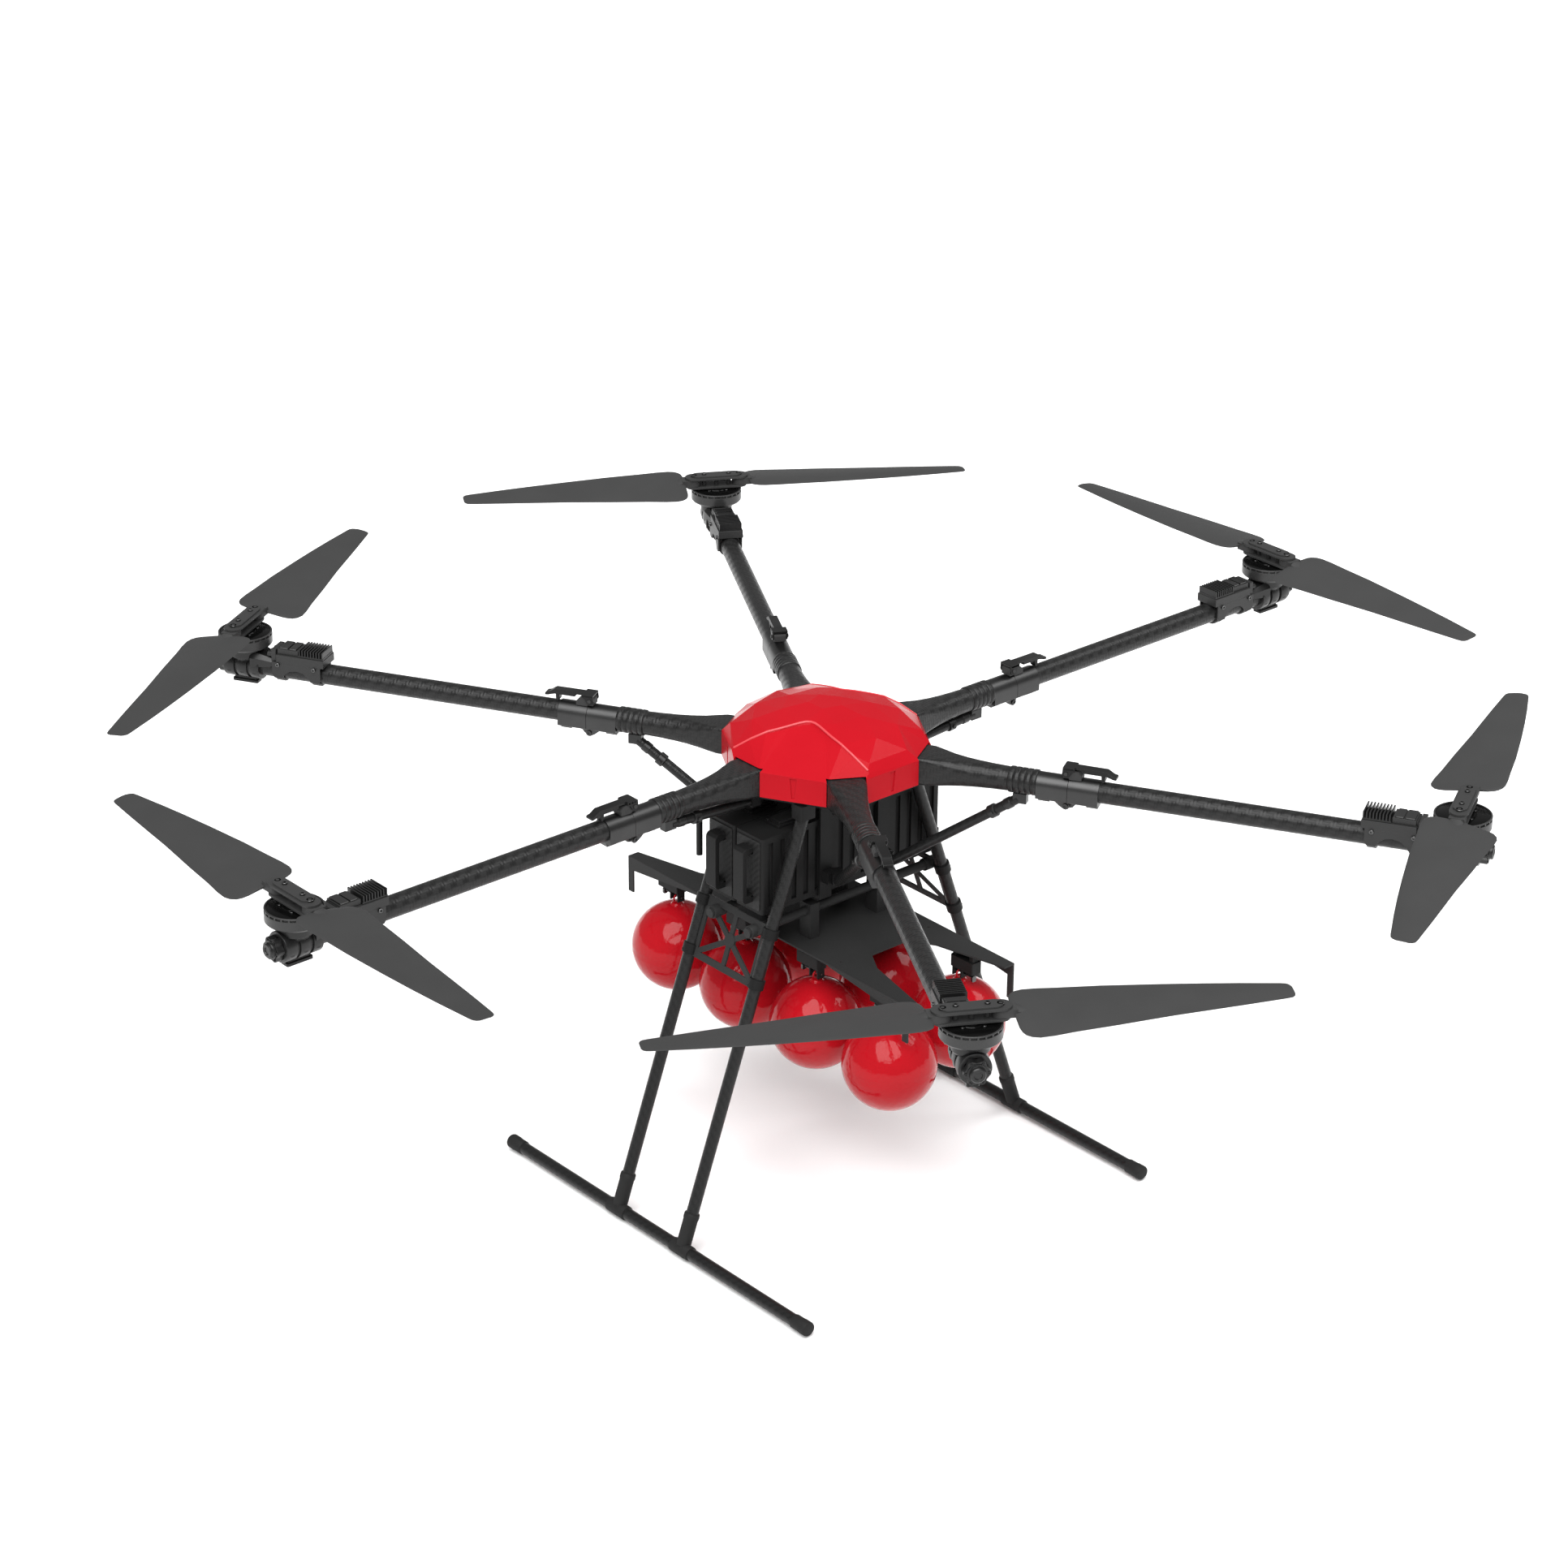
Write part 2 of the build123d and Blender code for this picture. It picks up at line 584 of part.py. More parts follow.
def arm():
    """Outer arm: tube, fold sleeve with latch block, speed controller, motor mount, end cap."""
    with BuildPart() as body:
        with BuildSketch(across(SPLIT_R + 2)):
            Circle(TUBE_R)
            Circle(TUBE_R - TUBE_WALL, mode=Mode.SUBTRACT)
        extrude(amount=CLAMP_R1 - SPLIT_R - 4)
        # sleeve, foot and hinge lug
        with BuildSketch(across(SPLIT_R + 0.5)):
            sleeve_section(TUBE_R + FIT)
        extrude(amount=SLEEVE_R1 - SPLIT_R - 0.5)
        with BuildSketch(side(-8)):
            with Locations((SLEEVE_R1 - FOOT_L / 2, HINGE_Z + 4)):
                Rectangle(FOOT_L, FOOT_H)
        extrude(amount=16)
        with BuildSketch(side(-6.8)):
            with BuildLine():
                Polyline((398, 725), (413, 725), (403, HINGE_Z - 4), (393, HINGE_Z - KNUCKLE_R),
                         (HINGE_R, HINGE_Z + 5), close=True)
            make_face()
            with Locations((HINGE_R, HINGE_Z)):
                Circle(KNUCKLE_R)
                Circle(HINGE_PIN_R + FIT, mode=Mode.SUBTRACT)
        extrude(amount=13.6)
        # latch block and its pin
        with BuildSketch(side(-10)):
            with BuildLine():
                Polyline((386.9, 762.4), (396.6, 762.4), (396.6, 760.5), (416, 760.5), (416, 768), (410, 774),
                         (392, 776.4), (387.2, 773.5), close=True)
            make_face()
        extrude(amount=20)
        with BuildSketch(side(-15)):
            with Locations((LATCH_R, LATCH_Z)):
                Circle(HINGE_PIN_R)
        extrude(amount=30)
        # motor mount with three clamp bands
        with BuildSketch(across(CLAMP_R0)):
            Circle(CLAMP_R)
        extrude(amount=CLAMP_R1 - CLAMP_R0)
        for radius in (983, 1011):
            with BuildSketch(across(radius)):
                Circle(CLAMP_R + 1)
                Circle(CLAMP_R - 2, mode=Mode.SUBTRACT)
            extrude(amount=6, mode=Mode.SUBTRACT)
        with BuildSketch(Plane.XY.offset(ARM_Z)):
            with Locations((MOTOR_R, 0)):
                Circle(28)
        extrude(amount=SEAT_TOP - ARM_Z)
        with BuildSketch(Plane.XY.offset(SEAT_TOP)):
            with Locations((MOTOR_R, 0)):
                Circle(STATOR_R)
        extrude(amount=STATOR_TOP - SEAT_TOP)
        # lamp rail under the clamp
        with BuildSketch(Plane.XY.offset(LAMP_Z)):
            with Locations((MOTOR_R, 0)):
                RectangleRounded(45, 18, 3)
        extrude(amount=LAMP_H)
        with BuildSketch(across(CLAMP_R0 - 5)):
            Circle(TUBE_R + FIT)
        extrude(amount=80, mode=Mode.SUBTRACT)
        with BuildSketch(Plane.XY.offset(STATOR_TOP)):
            with Locations((MOTOR_R, 0)):
                Circle(SHAFT_R + FIT)
        extrude(amount=SHAFT_LOW - 1 - STATOR_TOP, mode=Mode.SUBTRACT)
        add(TUBE_END)
        # end cap with lobes
        with BuildSketch(across(CLAMP_R1 + FIT)):
            Circle(18)
            with PolarLocations(15, 6):
                Circle(5)
        extrude(amount=13)
        with BuildSketch(across(CLAMP_R1 + 13)):
            Circle(11)
        extrude(amount=6)
        # speed controller on two saddles, finned on its inner half
        with BuildSketch(Plane.XY.offset(ESC_LOW)):
            with Locations(((ESC_R0 + ESC_R1) / 2, 0)):
                RectangleRounded(ESC_R1 - ESC_R0, 44, 4)
        extrude(amount=ESC_TOP - ESC_LOW)
        with BuildSketch(Plane.XY.offset(ESC_TOP)):
            with Locations((ESC_R0 + 26, 0)):
                with GridLocations(6, 1, 8, 1):
                    Rectangle(3, 48)
        extrude(amount=-9, mode=Mode.SUBTRACT)
        for radius in (862, 926):
            with BuildSketch(across(radius)):
                Circle(TUBE_R + 4)
                with Locations((0, 12)):
                    Rectangle(2 * (TUBE_R + 4), 16)
                Circle(TUBE_R + FIT, mode=Mode.SUBTRACT)
            extrude(amount=14)
    return body.part


with BuildPart() as tube_end:
    with BuildSketch(across(CLAMP_R0 - 5)):
        Circle(TUBE_R)
        Circle(TUBE_R - TUBE_WALL, mode=Mode.SUBTRACT)
    extrude(amount=CLAMP_R1 - 2 - CLAMP_R0 + 5)
TUBE_END = tube_end.part


STRAP_Z0, STRAP_Z1 = 777.0, 781.0
STRAP_R0, STRAP_R1 = 386.0, 454.0     # ends of the lever's straight strap


def latch_lever():
    """Over-centre lever: two cheeks on the pin, a stiffened strap, a hook post and a bent tip."""
    with BuildPart() as lever:
        for face in (-12.9, 10.4):
            with BuildSketch(side(face)):
                with Locations((LATCH_R, LATCH_Z)):
                    Circle(6.5)
                with BuildLine():
                    Polyline((386, LATCH_Z + 2), (STRAP_R0, STRAP_Z1), (405, STRAP_Z1), (405, 776),
                             (396, LATCH_Z - 4), close=True)
                make_face()
                with Locations((LATCH_R, LATCH_Z)):
                    Circle(HINGE_PIN_R + FIT, mode=Mode.SUBTRACT)
            extrude(amount=2.5)
        with BuildSketch(Plane.XY.offset(STRAP_Z0)):
            with Locations(((STRAP_R0 + 405) / 2, 0)):
                Rectangle(405 - STRAP_R0, 25.8)
            with Locations(((400 + STRAP_R1) / 2, 0)):
                Rectangle(STRAP_R1 - 400, 15)
        extrude(amount=STRAP_Z1 - STRAP_Z0)
        # deeper rib under the strap, the hook post and the bent tip
        with BuildSketch(side(-6)):
            with Locations(((419 + STRAP_R1) / 2, STRAP_Z0 - 2)):
                Rectangle(STRAP_R1 - 419, 5)
            with Locations((STRAP_R1 - 5, 768)):
                Rectangle(6, 14)
            with BuildLine():
                Polyline((450, STRAP_Z1), (456, 780), (463, 775.5), (470, 774), (470, 769), (462, 770), (454, 773),
                         (450, 773), close=True)
            make_face()
        extrude(amount=12)
    return lever.part


ARM, LEVER = arm(), latch_lever()
for number, angle in ARM_ANGLES.items():
    save(ARM.rotate(Axis.Z, angle), f"arm_{number}")
    save(LEVER.rotate(Axis.Z, angle), f"latch_lever_{number}")


# ---- rotors -----------------------------------------------------------------------------
GAP_LOW, GAP_HIGH = ROOT_LOW - 0.3, ROOT_HIGH + 0.3
LOW_T, MID_T, TOP_T, HEAD_T = 3.5, 3.5, 3.0, 3.5


def rotor():
    """Motor bell and shaft with the folding hub; blades lie along Y."""
    with BuildPart() as hub:
        with BuildSketch(Plane.XZ):
            with BuildLine():
                Polyline((0, SHAFT_LOW), (SHAFT_R, SHAFT_LOW), (SHAFT_R, 795), (40, 795), (40, 777), (41, 777),
                         (BELL_R, 783), (BELL_R, BELL_TOP - 1.5), (BELL_R - 1.5, BELL_TOP), (12, BELL_TOP),
                         (12, GAP_LOW - LOW_T), (0, GAP_LOW - LOW_T), close=True)
            make_face()
        revolve(axis=Axis.Z)
        for z, length, width, thick in ((GAP_LOW - LOW_T, 108, 28, LOW_T), (GAP_HIGH, 2 * PIVOT_S + 32, 32, MID_T),
                                        (GAP_HIGH + MID_T, 89, 24, TOP_T)):
            with BuildSketch(Plane.XY.offset(z)):
                SlotOverall(length, width, rotation=90)
            extrude(amount=thick)
        with BuildSketch(Plane.XY.offset(GAP_LOW)):
            with Locations((0, 0), (0, 22), (0, -22), (0, PIVOT_S), (0, -PIVOT_S)):
                Circle(PIVOT_R)
        extrude(amount=GAP_HIGH - GAP_LOW)
        with BuildSketch(Plane.XY.offset(GAP_HIGH + MID_T)):
            with Locations((0, PIVOT_S), (0, -PIVOT_S)):
                RegularPolygon(6, 6)
            with Locations((0, 22), (0, -22)):
                RegularPolygon(4.5, 6)
        extrude(amount=TOP_T + HEAD_T)
    return hub.part


# Blade sections: distance out, rear and front offsets, thickness; pitch eases outwards.
BLADE_SECTIONS = ((57.5, 46, 32, 5.4), (62, 57, 40, 6.4), (80, 66, 48, 7.0), (120, 60, 46, 6.6),
                  (190, 52, 44, 5.8), (270, 40, 38, 5.0), (380, 27, 27, 3.8), (440, 19, 19, 2.8), (455, 11, 11, 1.8))
PITCH_ROOT, PITCH_TIP = 7.5, 4.5
ROOT_END = 62.0                 # outer end of the root block, from the rotor axis
DROOP = 5.0                     # how far a blade's tip hangs below its root


def blade(spin):
    """One blade along +Y from the rotor axis; spin +1 turns counter-clockwise from above."""
    with BuildPart() as body:
        for out, rear, front, thick in BLADE_SECTIONS:
            share = (out - BLADE_SECTIONS[0][0]) / (BLADE_SECTIONS[-1][0] - BLADE_SECTIONS[0][0])
            pitch = radians(PITCH_ROOT + (PITCH_TIP - PITCH_ROOT) * share)
            # the front edge of a counter-clockwise blade faces -X and stands higher
            chord = Vector(-spin * cos(pitch), 0, sin(pitch))
            up = Vector(spin * sin(pitch), 0, cos(pitch))
            centre = Vector(0, out, BLADE_Z - DROOP * share)
            nose, tail = centre + chord * front, centre - chord * rear
            crown = centre + chord * (front - rear) / 2 + up * thick * 0.55
            belly = centre + chord * (front - rear) / 2 - up * thick * 0.35
            with BuildSketch(Plane(origin=centre, x_dir=(1, 0, 0), z_dir=(0, 1, 0))) as section:
                with BuildLine():
                    local = [section.workplanes[0].to_local_coords(p) for p in (tail, crown, nose, belly)]
                    ThreePointArc(local[0], local[1], local[2])
                    ThreePointArc(local[2], local[3], local[0])
                make_face()
        loft(ruled=True)
        # root block between the hub plates, round about the pivot
        with BuildSketch(Plane.XY.offset(ROOT_LOW)):
            with Locations((0, PIVOT_S)):
                Circle(12)
            with Locations((0, (PIVOT_S + ROOT_END) / 2)):
                Rectangle(24, ROOT_END - PIVOT_S)
        extrude(amount=ROOT_HIGH - ROOT_LOW)
        # the block's top runs down onto the blade as a wedge
        with BuildSketch(Plane.YZ.offset(-9)):
            with BuildLine():
                Polyline((ROOT_END - 1, ROOT_HIGH), (ROOT_END, ROOT_HIGH), (88, BLADE_Z + 2), (88, BLADE_Z),
                         (ROOT_END - 1, BLADE_Z), close=True)
            make_face()
        extrude(amount=18)
        with BuildSketch(Plane.XY.offset(ROOT_LOW - 5)):
            with Locations((0, PIVOT_S)):
                Circle(PIVOT_R + FIT)
        extrude(amount=ROOT_HIGH - ROOT_LOW + 10, mode=Mode.SUBTRACT)
    return body.part


ROTOR = rotor()
BLADES = {1: blade(1), -1: blade(-1)}
for number, angle in ARM_ANGLES.items():
    station = Location((MOTOR_R * cos(radians(angle)), MOTOR_R * sin(radians(angle)), 0), (0, 0, angle))
    save(ROTOR.moved(station), f"rotor_{number}")
    wing = BLADES[1 if number % 2 == 0 else -1]
    save(wing.moved(station), f"blade_{number}a")
    save(wing.rotate(Axis.Z, 180).moved(station), f"blade_{number}b")
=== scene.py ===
import json
from math import atan2, cos, hypot, pi, radians, sin, sqrt, tau

import bmesh
import bpy
from mathutils import Matrix, Vector
from mathutils.geometry import delaunay_2d_cdt


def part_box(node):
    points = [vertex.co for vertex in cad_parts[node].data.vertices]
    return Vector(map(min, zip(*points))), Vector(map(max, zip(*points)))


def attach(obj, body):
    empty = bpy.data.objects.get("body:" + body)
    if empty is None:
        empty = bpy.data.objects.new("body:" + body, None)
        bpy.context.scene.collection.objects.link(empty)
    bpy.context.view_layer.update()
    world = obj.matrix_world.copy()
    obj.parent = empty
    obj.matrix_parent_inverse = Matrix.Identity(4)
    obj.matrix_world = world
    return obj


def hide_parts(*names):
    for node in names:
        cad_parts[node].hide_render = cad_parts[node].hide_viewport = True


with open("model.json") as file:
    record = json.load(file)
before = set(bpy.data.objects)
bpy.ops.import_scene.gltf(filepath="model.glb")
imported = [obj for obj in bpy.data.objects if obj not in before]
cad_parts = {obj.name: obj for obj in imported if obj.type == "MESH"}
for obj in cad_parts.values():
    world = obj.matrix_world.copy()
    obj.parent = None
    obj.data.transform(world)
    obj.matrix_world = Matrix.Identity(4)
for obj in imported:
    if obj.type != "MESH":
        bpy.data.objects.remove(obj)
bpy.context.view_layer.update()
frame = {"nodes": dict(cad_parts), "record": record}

# Looks for the folding six-arm drone. Metres, in the row's own frame: +Z up, +Y along the skids.
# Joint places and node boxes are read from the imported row; other measures are this file's own.
# Arm pieces are made once, along +X, and copied to the six arms.

JOINTS = {joint["name"]: joint for joint in frame["record"]["behaviour"]["joints"]}


def joint_place(name):
    return Vector(JOINTS[name]["pos_m"])


ARMS = range(1, 7)
BALLS = range(1, 9)
HUBS = {n: joint_place(f"rotor_{n}_spin") for n in ARMS}
ANGLES = {n: atan2(HUBS[n].y, HUBS[n].x) for n in ARMS}
MOTOR_R = hypot(HUBS[2].x, HUBS[2].y)
HINGE = joint_place("arm_2_fold")
LATCH = joint_place("latch_2_open")
BLADE_PIVOT = joint_place("blade_2a_fold")
PIVOT_S = abs(BLADE_PIVOT.y)
BLADE_Z = BLADE_PIVOT.z
ARM_Z, TUBE_R, SLEEVE_R = 0.743, 0.017, 0.019

# ---- places ----


def at(x, y, z):
    return Matrix.Translation((x, y, z))


def turned(angle):
    return Matrix.Rotation(angle, 4, "Z")


def framed(x, y, z, origin):
    """Place at origin with the given local axes."""
    place = Matrix((x, y, z)).transposed().to_4x4()
    place.translation = Vector(origin)
    return place


def aim(origin, direction):
    """Place whose local Z looks along direction."""
    z = Vector(direction).normalized()
    x = Vector((0, 0, 1)).cross(z)
    if x.length < 1e-6:
        x = Vector((1, 0, 0))
    x.normalize()
    return framed(x, z.cross(x), z, origin)


def along_arm(radius):
    """Place on the arm's axis: local Z outwards, local X to the arm's left, local Y up."""
    return framed((0, 1, 0), (0, 0, 1), (1, 0, 0), (radius, 0, ARM_Z))


def side_of_arm(offset):
    """Place for side outlines drawn in (radius, height), extruded along +Y from offset."""
    return framed((1, 0, 0), (0, 0, 1), (0, 1, 0), (0, offset, 0))


def at_hub(height):
    return at(MOTOR_R, 0, height)


# ---- mesh tools ----


def inside(point, outline):
    """Whether a point lies within a closed outline."""
    crossed = False
    for (x0, y0), (x1, y1) in zip(outline, list(outline[1:]) + [outline[0]]):
        if (y0 > point[1]) != (y1 > point[1]) and point[0] < x0 + (point[1] - y0) * (x1 - x0) / (y1 - y0):
            crossed = not crossed
    return crossed


class Form:
    """Gathers the faces of one piece, with UVs in metres along and around each surface."""

    def __init__(self):
        self.bm = bmesh.new()
        self.uv = self.bm.loops.layers.uv.new("UVMap")

    def loft(self, rings, caps=True):
        """Skin over closed rings of points; u runs along the rings, v around them."""
        rows = [[self.bm.verts.new(p) for p in ring] for ring in rings]
        count = len(rings[0])
        run = 0.0
        for i in range(len(rows) - 1):
            step = (Vector(rings[i + 1][0]) - Vector(rings[i][0])).length
            turn = 0.0
            for j in range(count):
                k = (j + 1) % count
                side = max((Vector(rings[i][k]) - Vector(rings[i][j])).length,
                           (Vector(rings[i + 1][k]) - Vector(rings[i + 1][j])).length)
                face = self.bm.faces.new((rows[i][j], rows[i][k], rows[i + 1][k], rows[i + 1][j]))
                corners = ((run, turn), (run, turn + side), (run + step, turn + side), (run + step, turn))
                for loop, corner in zip(face.loops, corners):
                    loop[self.uv].uv = corner
                turn += side
            run += step
        if caps:
            self.bm.faces.new(rows[0][::-1])
            self.bm.faces.new(rows[-1])

    def lathe(self, profile, place, sides=48, caps=True):
        """Turned shape: profile of (radius, height) about the local Z of place."""
        self.loft([[place @ Vector((x, y, height)) for x, y in circle(radius, sides)]
                   for radius, height in profile], caps)

    def prism(self, outline, place, thick, holes=()):
        """Flat shape with straight sides, from local z 0 to thick; holes are outlines too."""
        loops = [list(outline)] + [list(h) for h in holes]
        points, edges = [], []
        for loop in loops:
            base, count = len(points), len(loop)
            edges += [(base + i, base + (i + 1) % count) for i in range(count)]
            points += [Vector(p) for p in loop]
        spots, _, tris, _, _, _ = delaunay_2d_cdt(points, edges, [], 0, 1e-7)
        tris = [tri for tri in tris if sum(inside(sum((spots[i] for i in tri), Vector((0, 0))) / 3, loop)
                                           for loop in loops) == 1]
        for level in (0.0, thick):
            verts = [self.bm.verts.new(place @ Vector((p.x, p.y, level))) for p in spots]
            for tri in tris:
                ids = tri[::-1] if level == 0.0 else tri
                face = self.bm.faces.new([verts[i] for i in ids])
                for loop, i in zip(face.loops, ids):
                    loop[self.uv].uv = spots[i]
        for loop in loops:
            low = [place @ Vector((p[0], p[1], 0)) for p in loop]
            high = [place @ Vector((p[0], p[1], thick)) for p in loop]
            self.loft([low, high], caps=False)

    def box(self, low, high, place=Matrix.Identity(4)):
        (x0, y0, z0), (x1, y1, z1) = low, high
        outline = [(x0, y0), (x1, y0), (x1, y1), (x0, y1)]
        self.prism(outline, place @ at(0, 0, z0), z1 - z0)

    def bolt(self, place, radius, height):
        """Cap screw with a hexagon socket, standing on the local plane z 0."""
        socket = 0.5 * radius
        self.lathe([(radius, 0), (radius, 0.85 * height), (0.9 * radius, height), (socket, height)],
                   place, 20, caps=False)
        self.lathe([(socket, height), (socket, 0.45 * height), (0.0001, 0.45 * height)], place, 6, caps=False)

    def object(self, name, smooth=35, bevel=0.0):
        """Finished mesh object: merged, outward, sharp above the given angle."""
        bmesh.ops.remove_doubles(self.bm, verts=self.bm.verts, dist=2e-6)
        bmesh.ops.recalc_face_normals(self.bm, faces=self.bm.faces)
        mesh = bpy.data.meshes.new(name)
        self.bm.to_mesh(mesh)
        self.bm.free()
        shade(mesh, smooth)
        piece = bpy.data.objects.new(name, mesh)
        bpy.context.collection.objects.link(piece)
        if bevel:
            round_edges(piece, bevel)
        return piece


def shade(mesh, smooth):
    """Smooth shading, with sharp edges above the angle in degrees."""
    mesh.polygons.foreach_set("use_smooth", [True] * len(mesh.polygons))
    mesh.set_sharp_from_angle(angle=radians(smooth))


def round_edges(piece, width):
    edge = piece.modifiers.new("edge", "BEVEL")
    edge.width = width
    edge.segments = 2
    edge.limit_method = "ANGLE"
    edge.angle_limit = radians(32)
    edge.harden_normals = True


def polar(radius, angle, centre=(0, 0)):
    return centre[0] + radius * cos(angle), centre[1] + radius * sin(angle)


def circle(radius, sides=32, centre=(0, 0)):
    return [polar(radius, tau * j / sides, centre) for j in range(sides)]


def arc(centre, radius, start, step, count):
    """Points round a centre, from start degrees on, step degrees apart."""
    return [polar(radius, radians(start + step * k), centre) for k in range(count)]


def slot_outline(length, width, steps=14):
    """Rounded-end strip along local Y."""
    half, radius = length / 2 - width / 2, width / 2
    ends = [polar(radius, pi * j / steps, (0, half)) for j in range(steps + 1)]
    return ends + [(-x, -y) for x, y in ends]


def rounded(width, height, radius, steps=6, centre=(0, 0)):
    out = []
    for sx, sy, start in ((1, 1, 0), (-1, 1, 90), (-1, -1, 180), (1, -1, 270)):
        corner = (centre[0] + sx * (width / 2 - radius), centre[1] + sy * (height / 2 - radius))
        out += arc(corner, radius, start, 90 / steps, steps + 1)
    return out


def tube(form, start, end, radius, seams, sides=32):
    """Round tube between two points, cut in short lengths so that its weave runs true."""
    start, end = Vector(start), Vector(end)
    place = aim(start, end - start)
    length = (end - start).length
    form.lathe([(radius, length * i / seams) for i in range(seams + 1)], place, sides)


# ---- materials ----


class Paint:
    """Small helper that wires a procedural material."""

    def __init__(self, name, **sockets):
        self.material = bpy.data.materials.new(name)
        self.material.use_nodes = True
        self.tree = self.material.node_tree
        self.shader = self.tree.nodes["Principled BSDF"]
        for key, value in sockets.items():
            self.shader.inputs[key.replace("_", " ")].default_value = value

    def node(self, kind, inputs=(), **values):
        made = self.tree.nodes.new(kind)
        for key, value in values.items():
            setattr(made, key, value)
        for key, value in dict(inputs).items():
            if isinstance(value, bpy.types.NodeSocket):
                self.tree.links.new(value, made.inputs[key])
            else:
                made.inputs[key].default_value = value
        return made

    def math(self, operation, a, b=0.0):
        return self.node("ShaderNodeMath", {0: a, 1: b}, operation=operation).outputs[0]

    def add(self, a, b):
        return self.math("ADD", a, b)

    def times(self, a, b):
        return self.math("MULTIPLY", a, b)

    def coords(self, source, scale):
        raw = self.node("ShaderNodeTexCoord").outputs[source]
        return self.node("ShaderNodeMapping", {"Vector": raw, "Scale": scale}).outputs[0]

    def noise(self, scale, detail=3.0, stretch=(1, 1, 1)):
        where = self.coords("Object", stretch)
        return self.node("ShaderNodeTexNoise", {"Vector": where, "Scale": scale, "Detail": detail}).outputs[0]

    def blend(self, factor, dark, light):
        """Base colour that runs from dark to light."""
        made = self.node("ShaderNodeValToRGB", {"Fac": factor})
        made.color_ramp.elements[0].color, made.color_ramp.elements[1].color = dark, light
        self.tree.links.new(made.outputs[0], self.shader.inputs["Base Color"])

    def rough(self, factor, low, high):
        spread = self.node("ShaderNodeMapRange", {"Value": factor, "To Min": low, "To Max": high})
        self.tree.links.new(spread.outputs[0], self.shader.inputs["Roughness"])

    def bump(self, height, depth, strength=1.0):
        made = self.node("ShaderNodeBump", {"Height": height, "Distance": depth, "Strength": strength})
        self.tree.links.new(made.outputs[0], self.shader.inputs["Normal"])


def grey(level):
    return (level, level, level, 1.0)


def carbon(name, tow, dark, light, rough=0.34, specular=0.22):
    """Two-by-two twill of flat tows under satin resin, with a painted highlight along the crown of each tow;
    follows the UVs in metres.
    """
    paint = Paint(name, Roughness=rough, Specular_IOR_Level=specular)
    parts = paint.node("ShaderNodeSeparateXYZ", {0: paint.coords("UV", (1 / tow, 1 / tow, 1))})
    u, v = parts.outputs[0], parts.outputs[1]
    phase = paint.math("FLOORED_MODULO", paint.add(paint.math("FLOOR", u), paint.math("FLOOR", v)), 4.0)
    over = paint.math("LESS_THAN", phase, 1.5)
    under = paint.math("SUBTRACT", 1.0, over)
    arch_u, arch_v = (paint.math("SINE", paint.times(paint.math("FRACT", way), pi)) for way in (u, v))
    crown = paint.add(paint.times(over, arch_v), paint.times(under, arch_u))
    cloud = paint.noise(60.0, 4.0)
    # crown lightens the middle of every tow in the base colour, a painted highlight; over and cloud are the
    # weave's own tone
    shade = paint.add(paint.times(over, 0.4), paint.add(paint.times(crown, 0.35), paint.times(cloud, 0.4)))
    paint.blend(shade, grey(dark), grey(light))
    paint.rough(paint.add(paint.times(over, 0.5), paint.times(cloud, 0.5)), rough - 0.08, rough + 0.12)
    paint.bump(crown, 0.045 * tow, 0.7)
    return paint.material


def red_gloss(name, deep, bright, rough, ior, ripple, depth):
    """Glossy moulded red plastic; ripple and depth set how its skin waves."""
    paint = Paint(name, Roughness=rough, IOR=ior)
    paint.blend(paint.noise(9.0, 4.0), (*deep, 1), (*bright, 1))
    paint.rough(paint.noise(45.0), rough, rough + 0.08)
    paint.bump(paint.noise(ripple, 2.0), depth)
    return paint.material


def moulded(name, level, rough, grain, depth, spread, metallic=0.0, specular=0.2):
    """Plain black plastic, composite or anodised metal with fine grain and slow variation."""
    paint = Paint(name, Metallic=metallic, Specular_IOR_Level=specular)
    cloud, fine = paint.noise(14.0, 5.0), paint.noise(grain, 2.0)
    paint.blend(cloud, grey(level * (1 - spread)), grey(level * (1 + spread)))
    paint.rough(paint.times(paint.add(cloud, fine), 0.5), rough - 0.08, rough + 0.12)
    paint.bump(fine, depth, 0.5)
    return paint.material


def brushed(name, level, rough, stretch):
    """Turned or drawn metal: hair lines across the given direction."""
    paint = Paint(name, Metallic=1.0, Roughness=rough)
    lines = paint.noise(220.0, stretch=stretch)
    paint.blend(paint.times(paint.add(lines, paint.noise(25.0)), 0.5), grey(0.75 * level), grey(1.3 * level))
    paint.rough(lines, rough - 0.07, rough + 0.1)
    paint.bump(lines, 0.00003, 0.4)
    return paint.material


CARBON = carbon("carbon_twill", 0.0054, 0.006, 0.016)
CARBON_LEG = carbon("carbon_fine_twill", 0.0036, 0.007, 0.011)
CARBON_END = carbon("carbon_end_panel", 0.0026, 0.005, 0.022, 0.45, 0.12)
HOOD_RED = red_gloss("hood_red", (0.33, 0.005, 0.01), (0.38, 0.007, 0.013), 0.14, 1.12, 320.0, 0.00002)
# The brow bead's red is lighter than the hood's: a painted highlight along the edge of each brow.
BROW_HIGHLIGHT_RED = red_gloss("brow_red_painted_highlight", (0.44, 0.012, 0.02), (0.62, 0.09, 0.1), 0.18, 1.4, 90.0, 0.0006)
BALL_RED = red_gloss("ball_red", (0.3, 0.004, 0.008), (0.36, 0.006, 0.011), 0.05, 1.26, 70.0, 0.0006)
BLADE_GREY = moulded("blade_composite", 0.036, 0.55, 700.0, 0.00003, 0.12, specular=0.15)
HUB_GREY = moulded("hub_composite", 0.032, 0.5, 900.0, 0.00003, 0.15, specular=0.15)
MOTOR_SIDE = moulded("motor_side", 0.022, 0.34, 1200.0, 0.00001, 0.15, specular=0.35)
MOTOR_TOP = moulded("motor_top", 0.0025, 0.16, 500.0, 0.00001, 0.3, specular=0.1)
SLEEVE_METAL = brushed("fold_sleeve_metal", 0.055, 0.36, (1, 12, 12))
